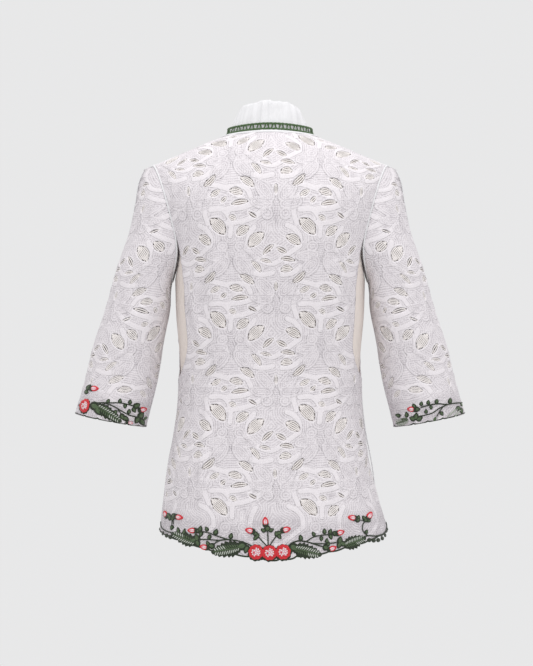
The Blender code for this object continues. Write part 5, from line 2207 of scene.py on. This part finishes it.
@dataclass
class Embroidery:
    """Raised satin-stitched motifs, gathered by thread and laid on panels together."""

    spray: Spray
    unit: float = DRAWN_UNIT
    rim_clear: float = 0.0006
    edge_half: float = 0.0014
    shapes: dict[Thread, list[Stitched]] = field(default_factory=dict)
    spots: list[Array] = field(default_factory=list)
    reached: list[bool] = field(default_factory=list)
    flipped: bool = False
    motifs: int = 0
    most_stretch: float = 1.7

    def __post_init__(self) -> None:
        """Draws every motif."""
        spray = self.spray
        for motifs, draw in ((spray.leaves, self.big_leaf), (spray.sprigs, self.small_leaf),
                             (spray.beads, self.bead), (spray.buds, self.bud),
                             (spray.rosettes, self.rosette)):
            for motif in motifs:
                draw(motif)
                self.motifs += 1

    def dome(self, thread: Thread, line: Array, middle: Place, angle: float,
             low: float, high: float) -> None:
        """Adds a domed shape.

        Args:
            thread: Its thread.
            line: Its outline about the origin, anticlockwise.
            middle: Where it stands.
            angle: How far it is turned, in degrees.
            low: How high its underside is, in metres.
            high: How high its top is.
        """
        count = len(line)
        rings = ((1.0, 0.0), (0.97, 0.55), (0.80, 0.88), (0.42, 1.0))
        local = np.concatenate([line * scale for scale, _ in rings] + [np.zeros((2, 2))])
        heights = [low + (high - low) * np.full(count, share) for _, share in rings]
        top, under = 4 * count, 4 * count + 1
        faces = []
        for j in range(count):
            k = (j + 1) % count
            for ring in range(3):
                a, b = ring * count + j, ring * count + k
                faces += [(a, b, b + count), (a, b + count, a + count)]
            faces += [(3 * count + j, 3 * count + k, top), (k, j, under)]
        shape = Stitched(placed(local[:, 0], local[:, 1], angle, middle),
                         np.concatenate(heights + [np.array([high, low])]), np.array(faces),
                         local * self.unit, self.motifs)
        self.shapes.setdefault(thread, []).append(shape)

    def bead(self, bead: Rosette) -> None:
        """Adds a small green scallop."""
        line = ring_line(12, 2 * bead.radius, 2 * bead.radius, 0.0)
        self.dome(Thread.DARK_GREEN, line, (bead.x, bead.y), 0.0, 0.0002, 0.0013)

    def small_leaf(self, leaf: Leaf) -> None:
        """Adds a small leaf: a dark edge and a paler middle.

        Args:
            leaf: The leaf.
        """
        middle = (leaf.x, leaf.y)
        edge = ring_line(14, leaf.length, leaf.width, 0.35)
        self.dome(Thread.DARK_GREEN, edge, middle, leaf.angle, 0.0001, 0.0012)
        inner = ring_line(10, leaf.length * 0.66, leaf.width * 0.50, 0.35)
        self.dome(Thread.LEAF_GREEN, inner, middle, leaf.angle, 0.0009, 0.0017)

    def big_leaf(self, leaf: Leaf) -> None:
        """Adds a big leaf: teeth, a hatched pale middle, and veins.

        Args:
            leaf: The leaf.
        """
        middle = (leaf.x, leaf.y)
        line = ring_line(96, leaf.length, leaf.width, 0.25, 20)
        self.dome(Thread.DARK_GREEN, line, middle, leaf.angle, 0.0001, 0.0011)
        for share in np.linspace(-0.38, 0.36, 11):
            for side in (1, -1):
                reach = leaf.width * 0.36 * math.sqrt(1 - (share / 0.52) ** 2)
                spot = placed(leaf.length * share, side * reach * 0.55, leaf.angle, middle)
                thread = Thread.PALE_GREEN if side > 0 or share > 0 else Thread.LEAF_GREEN
                self.dome(thread, ring_line(8, reach * 0.95, leaf.length * 0.040, 0.0), spot,
                          leaf.angle + side * 58, 0.0008, 0.0015)
        rib = ring_line(16, leaf.length * 0.94, leaf.width * 0.11, 0.0)
        self.dome(Thread.LEAF_GREEN, rib, middle, leaf.angle, 0.0009, 0.0018)

    def bud(self, bud: Bud) -> None:
        """Adds a rosebud: red petals round a pale heart, in a green cup.

        Args:
            bud: The bud.
        """
        size = bud.length
        petals = (Thread.RED, 20, 1.0, 0.66, 0.22, 0.0, 0.0, 0.0, 0.0002, 0.0017)
        heart = (Thread.PINK, 14, 0.66, 0.42, 0.1, -0.06, 0.0, 0.0, 0.0013, 0.0022)
        lights = [(Thread.WHITE, 10, 0.42, 0.13, 0.1, -0.09, aside, 0.0, 0.0017, 0.0026)
                  for aside in (-0.09, 0.09)]
        cup = [(Thread.DARK_GREEN, 12, 0.52, 0.24, 0.4, -0.46, aside, turn, 0.0004, 0.0021)
               for aside, turn in ((-0.20, -32.0), (0.20, 32.0), (0.0, 0.0))]
        for thread, count, long, wide, point, along, aside, turn, low, high in (petals, heart, *lights, *cup):
            line = ring_line(count, size * long, size * wide, point)
            spot = placed(along * size, aside * size, bud.angle, (bud.x, bud.y))
            self.dome(thread, line, spot, bud.angle + turn, low, high)

    def rosette(self, rosette: Rosette) -> None:
        """Adds a round flower: a green leaf under it, petals, and a knotted heart.

        Args:
            rosette: The flower.
        """
        x, y, r = rosette
        t = 2 * math.pi * np.arange(60) / 60
        green = (r * 1.10 + 0.05 * r * np.cos(11 * t))[:, None] * np.stack([np.cos(t), np.sin(t)], axis=-1)
        self.dome(Thread.DARK_GREEN, green, (x, y - 0.09 * r), 0.0, 0.0001, 0.0008)
        petals = 9
        petal = ring_line(18, r * 0.92, r * 0.56, 0.0)
        for k in range(petals):
            turn = 360 / petals * k
            self.dome(Thread.RED, petal, placed(0.68 * r, 0.0, turn, (x, y)), turn + 70,
                      0.0004, 0.0018 + 0.0002 * (k % 2))
        self.dome(Thread.PINK, ring_line(24, r * 1.24, r * 1.24, 0.0), (x, y), 0.0, 0.0010, 0.0018)
        for ring, count, size in ((0.50, 11, 0.17), (0.27, 6, 0.17), (0.0, 1, 0.18)):
            for k in range(count):
                turn = 2 * math.pi * (k + ring) / count
                spot = (x + ring * r * math.cos(turn), y + ring * r * math.sin(turn))
                thread = Thread.RED if (k * 3 + count) % 5 == 0 else Thread.WHITE
                self.dome(thread, ring_line(9, r * size * 1.5, r * size, 0.0), spot, math.degrees(turn) + 50,
                          0.0014, 0.0026)

    def place(self, lantern: Lantern) -> None:
        """Finds the flat places of every motif and stem.

        Args:
            lantern: Where the drawing falls.
        """
        every = [shape.places for shapes in self.shapes.values() for shape in shapes]
        every += [smooth_line(np.array(vine.places), 1.2, 6) for vine in self.spray.vines]
        flat, reached, self.flipped = lantern.flat(np.concatenate(every))
        ends = np.cumsum([len(places) for places in every])
        self.spots = np.split(flat, ends[:-1])
        self.reached = [bool(part.all()) for part in np.split(reached, ends[:-1])]
        numbers = np.array([shape.motif for shapes in self.shapes.values() for shape in shapes])
        for motif in range(self.motifs):
            mine = np.nonzero(numbers == motif)[0]
            drawn = np.concatenate([every[k] for k in mine]) * self.unit
            laid = np.concatenate([self.spots[k] for k in mine])[:, 0]
            size = float(np.linalg.norm(drawn - drawn.mean(0), axis=1).max())
            middle, wide = laid.mean(), float(np.abs(laid - laid.mean()).max())
            share = min(1.0, self.most_stretch * size / max(wide, 1e-9))
            for k in mine:
                self.spots[k][:, 0] = middle + (self.spots[k][:, 0] - middle) * share

    def lay(self, node: str, surface: Surface, turned_over: bool, outline: Loop, edge: Array,
            mirror: bool = False) -> list[Piece]:
        """Lays the motifs that fall inside a panel on it.

        Args:
            node: The panel's node.
            surface: The panel's surface.
            turned_over: Whether its flat triangles face inwards.
            outline: The panel's outline.
            edge: The line of the panel's scalloped edge.
            mirror: Whether the flat places are mirrored across.

        Returns:
            An object for each thread.
        """
        spots = [part * (-1.0 if mirror else 1.0, 1.0) for part in self.spots]
        far, _ = rim_band(np.concatenate(spots), np.array(outline), 0.02)
        inside = [bool((part < -self.rim_clear).all())
                  for part in np.split(far, np.cumsum([len(part) for part in spots])[:-1])]
        rows = iter(zip(spots, [a and b for a, b in zip(inside, self.reached)]))
        cords = {thread: LaidCords(surface, turned_over) for thread in Thread}
        for thread, shapes in self.shapes.items():
            for shape, (part, good) in zip(shapes, rows):
                if good:
                    faces = shape.faces[:, ::-1] if self.flipped != mirror else shape.faces
                    cords[thread].add(np.column_stack([part, shape.heights]), faces, shape.stitches)
        for vine, (line, good) in zip(self.spray.vines, rows):
            if good:
                half = np.full(len(line), 1.2 * vine.half * MILLIMETRE)
                cords[Thread.DARK_GREEN].cord(line, half, 0.0001, 0.0017, 8)
        cords[Thread.DARK_GREEN].cord(edge, np.full(len(edge), self.edge_half), -0.0008, 0.0012, 8)
        made = []
        for thread, batch in cords.items():
            piece = batch.make(f"{node}_{thread.name.lower()}", thread.value.make())
            if piece is not None:
                hand_in(piece, "green_crochet" if "GREEN" in thread.name else "lace")
                made.append(piece)
        return made


@dataclass
class NeckTrim:
    """The green crochet band: two rails with rungs between, so that rows of ovals stay open."""

    line: NeckLine
    high: float = 0.0114
    low: float = 0.0022
    lean: float = 0.24
    top_radius: float = 0.00170
    low_radius: float = 0.00220
    pitch: float = 0.0066
    middle: float = 0.0004

    def build(self, thread: Material) -> Piece:
        """Builds the band.

        Args:
            thread: Its material.

        Returns:
            The band.
        """
        count = 700
        points, up, out, _, length = self.line.dense(count)
        run = np.linspace(0, length, count)
        phase = run / self.pitch * 2 * math.pi
        twist = 1 + 0.12 * np.sin(run / 0.0011)
        batch = Batch()
        rails = ((self.high, self.top_radius, 0.0), (self.low, self.low_radius, 0.0010))
        for height, radius, wave in rails:
            level = height - wave * (1 + np.cos(phase)) / 2
            middle = points + up * level[:, None] - out * (self.middle + self.lean * level)[:, None]
            wide = (radius * twist * (1 + (0.25 if wave else 0.0) * np.cos(phase)))[:, None]
            batch.add(tube(middle, 0.75 * wide * out, wide * up, 8), tube_faces(count, 8),
                      tube_stitches(run, 8, 0.001))
        rungs = int(length / self.pitch)
        levels = np.linspace(0.0012, self.high, 7)[:, None]
        wide = 0.00125 + 0.0014 * np.abs(levels / self.high * 2 - 1.05) ** 2.4
        stitches = tube_stitches(np.linspace(0, 0.01, 7), 6, 0.001)[:, ::-1]
        for k in range(rungs):
            here = int((k + 0.5) / rungs * (count - 1))
            side = unit(points[min(here + 1, count - 1)] - points[here])
            lean = self.pitch / 2 * (1 if k % 2 else -1)
            middle = points[here] + up[here] * levels - out[here] * (self.middle + self.lean * levels)
            middle = middle + side * lean * (levels / self.high - 0.5)
            deep = out[here] * np.full_like(wide, 0.0008)
            batch.add(tube(middle, side * wide, deep, 6), tube_faces(7, 6), stitches)
        trim = batch.make("neck_crochet", thread)
        hand_in(trim, "green_crochet", ["neck_trim"])
        return trim


@dataclass
class NeckBinding:
    """The narrow white binding on the lace round the neck, with its line of stitches."""

    body: BodyForm
    surfaces: dict[Side, Surface]
    start: float = 0.0012
    high: float = 0.0080
    low: float = 0.0006
    puff: float = 0.0011
    end_gap: float = 0.0015
    off_seam: float = 0.0006

    def build(self, cloth: Material) -> Piece:
        """Builds the binding.

        Args:
            cloth: Its material.

        Returns:
            The binding.
        """
        levels = 9
        grid: list[Array] = []
        for side in (Side.FRONT, Side.BACK):
            edge = self.body.neck_edge(side, 60)
            edge = edge[::-1][:-1] if side == Side.FRONT else edge
            spots = np.array(edge)
            around = np.gradient(spots, axis=0)
            away = np.stack([np.abs(around[:, 1]), -np.abs(around[:, 0])], axis=-1)
            away /= np.linalg.norm(away, axis=1, keepdims=True)
            away[np.abs(spots[:, 0]) < 1e-6] = (0.0, -1.0)
            rows = []
            for k in range(levels):
                share = k / (levels - 1)
                flat = spots + away * (self.start + (self.high - self.start) * share)
                seam = self.body.yoke + self.body.over(flat[:, 0]) - self.off_seam
                flat[:, 1] = np.minimum(flat[:, 1], seam)
                points, normals = self.surfaces[side](flat[:, 0], flat[:, 1])
                swell = math.sqrt(max(1 - abs(2 * share - 1) ** 3, 0.0))
                groove = 0.45 * math.exp(-(((share - 0.72) / 0.09) ** 2))
                rows.append(points + normals * (self.low + self.puff * swell * (1 - groove)))
            grid.append(np.stack(rows, axis=1))
        half = np.concatenate(grid)
        half[0, :, 0] = self.end_gap
        ring = np.concatenate([half[:-1] * MIRRORED, half[::-1]])
        a_line, b_line = ring[:, 0], ring[:, -1]
        base = np.stack([b_line, (a_line + b_line) / 2, a_line], axis=1)
        across = unit(np.cross(b_line - a_line, np.gradient(a_line, axis=0)))
        outwards = ring[:, levels // 2] - (a_line + b_line) / 2
        across *= np.sign((across * outwards).sum(1, keepdims=True))
        base = base - across[:, None, :] * 0.0003
        loop = np.concatenate([ring, base], axis=1)
        corners = loop.shape[1]
        stitches = tube_stitches(lengths_along(a_line), corners, 0.0009)
        binding = mesh_object("neck_binding_cloth", loop.reshape(-1, 3), tube_faces(len(ring), corners),
                              cloth, stitches)
        fix_normals(binding)
        hand_in(binding, "binding_cotton", ["neck_binding"])
        return binding


@dataclass
class ArmholeSeam:
    """The rolled white seam where a sleeve is set into the armhole."""

    sleeve: SleeveForm
    radius: float = 0.0017
    out: float = 0.0004

    def build(self, hand: Hand, cloth: Material) -> Piece:
        """Builds the seam.

        Args:
            hand: Which sleeve.
            cloth: Its material.

        Returns:
            The seam.
        """
        back, front = (self.sleeve.rings[side][1] for side in Side)
        line = np.concatenate([back, front[::-1][1:-1]])
        line = (np.roll(line, 1, axis=0) + 2 * line + np.roll(line, -1, axis=0)) / 4
        line = line + np.array([self.out, 0.0, 0.0])
        return seam_cord("armhole_seam", line, self.radius, hand, cloth, closed=True)


@dataclass
class SleeveSeams:
    """The thin ridges where a sleeve's back and front meet, outside and under the arm."""

    sleeve: SleeveForm
    radius: float = 0.0008
    above_cuff: float = 0.012

    def build(self, hand: Hand, cloth: Material) -> None:
        """Builds both ridges.

        Args:
            hand: Which sleeve.
            cloth: Their material.
        """
        form = self.sleeve
        for name, turn, top in (("outer", 0.0, form.outer), ("under", math.pi, form.inner)):
            levels = np.arange(self.above_cuff, top - 0.001, 0.004)
            line = form.shape(np.full(len(levels), turn * form.radius), levels)
            seam_cord(f"sleeve_seam_{name}", line, self.radius, hand, cloth)


def seam_cord(name: str, line: Array, radius: Array | float, hand: Hand, cloth: Material,
              closed: bool = False) -> Piece:
    """Builds a thin rolled seam along a line.

    Args:
        name: The seam's name without its hand.
        line: The middle of the roll.
        radius: Its radius, one or one for each point.
        hand: The hand that the line is mirrored to.
        cloth: Its material.
        closed: Whether the line is a ring.

    Returns:
        The seam.
    """
    step = np.roll(line, -1, axis=0) - np.roll(line, 1, axis=0) if closed else np.gradient(line, axis=0)
    run = unit(step)
    away = unit(np.cross(run, (1.0, 0.0, 0.0) if closed else (0.0, 1.0, 0.0)))
    side = np.cross(run, away)
    corners = 8
    radius = np.broadcast_to(radius, len(line))[:, None]
    points = tube(line, away * radius, side * radius, corners) * (hand.value, 1.0, 1.0)
    seam = mesh_object(f"{name}_{hand.name.lower()}", points, tube_faces(len(line), corners, closed),
                       cloth, tube_stitches(lengths_along(line), corners, 0.0012))
    fix_normals(seam)
    hand_in(seam, "lace")
    return seam


@dataclass
class PanelSeams:
    """The shoulder seam and the side seam, where back and front lace are sewn together."""

    body: BodyForm
    forms: dict[Side, Surface]
    radius: float = 0.0010
    tip_radius: float = 0.0030
    sunk: float = 0.0003

    def middle(self, across: Callable[[int, Side], float], high: Sequence[float]) -> Array:
        """The line midway between the two panels' edges.

        Args:
            across: Each place across a panel's pattern, by its number and side.
            high: Each place up.

        Returns:
            The points in space.
        """
        lines = []
        for side in Side:
            w = np.array([across(k, side) for k in range(len(high))])
            points, normals = self.forms[side](w, np.array(high))
            lines.append(points - normals * self.sunk)
        return (lines[0] + lines[1]) / 2

    def build(self, hand: Hand, cloth: Material) -> None:
        """Builds both seams of one hand.

        Args:
            hand: Which hand.
            cloth: Their material.
        """
        body = self.body
        across = np.linspace(body.shoulder_tip + 0.0006, body.neck_half + 0.003, 60)
        high = [body.yoke + float(body.over(x)) for x in across]
        line = self.middle(lambda k, side: body.across(float(across[k]), high[k], side), high)
        share = np.linspace(0, 1, len(line))
        radius = self.radius + (self.tip_radius - self.radius) * np.clip(1 - share / 0.06, 0, 1) ** 1.5
        seam_cord("shoulder_seam", line, radius, hand, cloth)
        levels = np.arange(body.hem_side + 0.014, body.strip_end + 0.004, 0.005)
        line = self.middle(lambda k, side: body.quarter(float(levels[k]), side), levels)
        seam_cord("side_seam", line, self.radius, hand, cloth)


def fix_normals(piece: Piece) -> None:
    """Turns a closed mesh's faces outwards.

    Args:
        piece: The piece.
    """
    mesh = bmesh.new()
    mesh.from_mesh(piece.data)
    bmesh.ops.recalc_face_normals(mesh, faces=mesh.faces)
    mesh.to_mesh(piece.data)
    mesh.free()


# ---------------------------------------------------------------- studio


@dataclass
class Studio:
    """The camera, the soft lights, the pale surround and the floor."""

    eye: Spot = EYE
    lens: float = 67.84
    surround: float = 0.807
    floor_z: float = -1.40
    floor_radius: float = 2.2

    def lamp(self, name: str, spot: Spot, target: Spot, size: float, power: float) -> None:
        """Adds one soft area light.

        Args:
            name: Its name.
            spot: Where it is.
            target: What it faces.
            size: Its side.
            power: Its watts.
        """
        data = bpy.data.lights.new(name, "AREA")
        data.shape, data.size, data.energy = "DISK", size, power
        light = bpy.data.objects.new(name, data)
        light.location = spot
        light.rotation_euler = (Vector(target) - Vector(spot)).to_track_quat("-Z", "Y").to_euler()
        bpy.context.scene.collection.objects.link(light)

    def build(self) -> None:
        """Builds everything round the garment."""
        scene = bpy.context.scene
        optics = bpy.data.cameras.new("camera")
        optics.sensor_fit, optics.sensor_height, optics.lens = "VERTICAL", 24.0, self.lens
        camera = bpy.data.objects.new("camera", optics)
        camera.location = self.eye
        camera.rotation_euler = (math.radians(90), 0.0, math.radians(180))
        scene.collection.objects.link(camera)
        scene.camera = camera
        world = bpy.data.worlds.new("surround")
        scene.world = world
        world.use_nodes = True
        background = world.node_tree.nodes["Background"]
        background.inputs["Color"].default_value = rgb((1.0, 1.0, 1.005), self.surround)
        background.inputs["Strength"].default_value = 1.0
        self.lamp("key", (-0.9, 2.6, 1.6), (0.0, 0.1, -0.25), 1.6, 21.5)
        self.lamp("fill", (1.6, 2.2, 0.5), (0.0, 0.1, -0.35), 1.6, 3.0)
        self.lamp("top", (0.0, 0.4, 2.4), (0.0, 0.0, -0.2), 1.4, 27.0)
        scene.view_settings.view_transform = "Standard"
        self.floor()

    def floor(self) -> None:
        """Adds the pale floor, far under the garment."""
        n = Nodes("floor_paper")
        place = n.add("TexCoord").outputs["Object"]
        soft = n.add("TexNoise", Vector=place, Scale=3.0, Detail=3.0).outputs["Fac"]
        tone = n.mix(n.maths("MULTIPLY", soft, 0.08), rgb((0.80, 0.80, 0.80)), rgb((0.7, 0.7, 0.7)))
        paper = n.finish(tone, 0.9, n.bump(soft, 0.0005), 0.0)
        turns = np.linspace(0, 2 * math.pi, 96, endpoint=False)
        rim = np.stack([np.cos(turns), np.sin(turns), np.zeros(96)], axis=-1) * self.floor_radius
        middle = np.array([0.0, 0.0, self.floor_z])
        points = np.concatenate([[middle], rim + middle])
        faces = np.array([(0, 1 + k, 1 + (k + 1) % 96) for k in range(96)])
        mesh_object("floor", points, faces, paper)


def lower_line(places: Loop, inset: float = 0.0010) -> Array:
    """A panel's lower edge as a line from left to right, a little inside it."""
    return np.array(sorted(places))[1:-1] + (0.0, inset)


def panel_outlines(kind: str, half: Loop, side: Side) -> dict[str, Loop]:
    """The patterns that are cut for one side of the body: one whole back, or two fronts.

    Args:
        kind: What the panels' names start with.
        half: The half pattern.
        side: Back or front.

    Returns:
        Each panel's line by its node.
    """
    if side == Side.BACK:
        return {f"{kind}_back": whole(half)}
    return {f"{kind}_front_{hand.name.lower()}": front_outline(half, hand) for hand in Hand}


def build_blouse() -> None:
    """Builds every piece of the blouse."""
    body = BodyForm()
    drawing = LaceDrawing(*REPEAT, -0.010, -0.283)
    lace = LaceFinish().make()
    net = ClothFinish("net_thread", (0.92, 0.87, 0.85), threads=5000.0, mottle=0.04).make()
    plain = ClothFinish("plain_lining", (0.880, 0.800, 0.745)).make()
    cotton = ClothFinish("collar_cotton_cloth", (0.790, 0.785, 0.800), threads=2600.0).make()
    bound = ClothFinish("binding_cotton_cloth", (0.790, 0.785, 0.800), threads=2600.0).make()
    # The crochet's second colour is a painted highlight along its stitches.
    green = ThreadFinish("crochet_green", (0.050, 0.105, 0.036), (0.160, 0.230, 0.110),
                         stitches=1400.0).make()

    smooth_forms = {side: body.surface(side, folds=False) for side in Side}
    forms = {side: body.surface(side) for side in Side}
    for side in Side:
        half = body.lining_half(side)
        neck = body.neck_edge(side, 10)
        neck += [(-w, h) for w, h in neck]
        for name, outline in panel_outlines("lining", half, side).items():
            LiningPanel(name, outline, smooth_forms[side], side, neck).build(plain)
    edge_slack = 0.014
    middle_half, middle_high, sides_high, cuff_high = 0.045, 0.074, 0.052, 0.045
    border = Embroidery(HEM_SPRAY)
    border.place(Lantern(forms[Side.BACK], (0.0, -0.660), (-0.290, -0.725), (0.290, -0.560),
                         (-0.0002, -0.3728)))
    for side in Side:

        def clear(w: Array, h: Array, side: Side = side) -> Array:
            """How far places are above the flower border."""
            return h - body.hem(w, side) - np.where(np.abs(w) > middle_half, sides_high, middle_high)

        for name, outline in panel_outlines("lace", body.lace_half(side), side).items():
            rests = [name.replace("lace", "lining")]
            low = [h < float(body.hem(w, side)) + 0.0005 for w, h in outline]
            rim = [(w, h - edge_slack * under) for (w, h), under in zip(outline, low)]
            edge = lower_line([spot for spot, under in zip(outline, low) if under])
            parts = border.lay(name, forms[side], side == Side.BACK, rim, edge)
            panel = LacePanel(name, outline, forms[side], side == Side.BACK, drawing, clear, rests)
            panel.build(lace, net, parts)

    sleeve = SleeveForm(body)
    sleeve_drawing = LaceDrawing(*REPEAT, 0.040, 0.190)
    cuffs = {Hand.LEFT: (LEFT_CUFF, (-0.3102, -0.1241)), Hand.RIGHT: (RIGHT_CUFF, (0.2950, -0.1309))}
    for hand in Hand:
        spray, origin = cuffs[hand]
        stitched = Embroidery(spray)
        surface = sleeve.surface(hand)
        stitched.place(Lantern(surface, (0.090, 0.030), (0.001, -0.004), (0.184, 0.110), origin))
        for side in Side:
            name = f"sleeve_{hand.name.lower()}_{side.name.lower()}"
            outline = sleeve.outline(side)
            rim = [(u, v - edge_slack * (v < 0.0005)) for u, v in outline]
            edge = lower_line([(u, v) for u, v in outline if v < 0.0005])
            parts = stitched.lay(name, surface, hand == Hand.RIGHT, rim, edge, side == Side.FRONT)
            LacePanel(name, sleeve.outline(side), surface, hand == Hand.RIGHT, sleeve_drawing,
                      lambda u, v: v - cuff_high, [], edge_clear=0.0020).build(lace, net, parts)

    for hand in Hand:
        ArmholeSeam(sleeve).build(hand, cotton)
        PanelSeams(body, forms).build(hand, cotton)
        SleeveSeams(sleeve).build(hand, cotton)
    line = NeckLine(body)
    Collar(line).build(cotton)
    NeckTrim(line).build(green)
    NeckBinding(body, forms).build(bound)


def main() -> None:
    """Builds the blouse and the studio round it."""
    logging.basicConfig(level=logging.INFO, format="%(message)s")
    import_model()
    Studio().build()
    build_blouse()


if __name__ == "__main__":
    main()
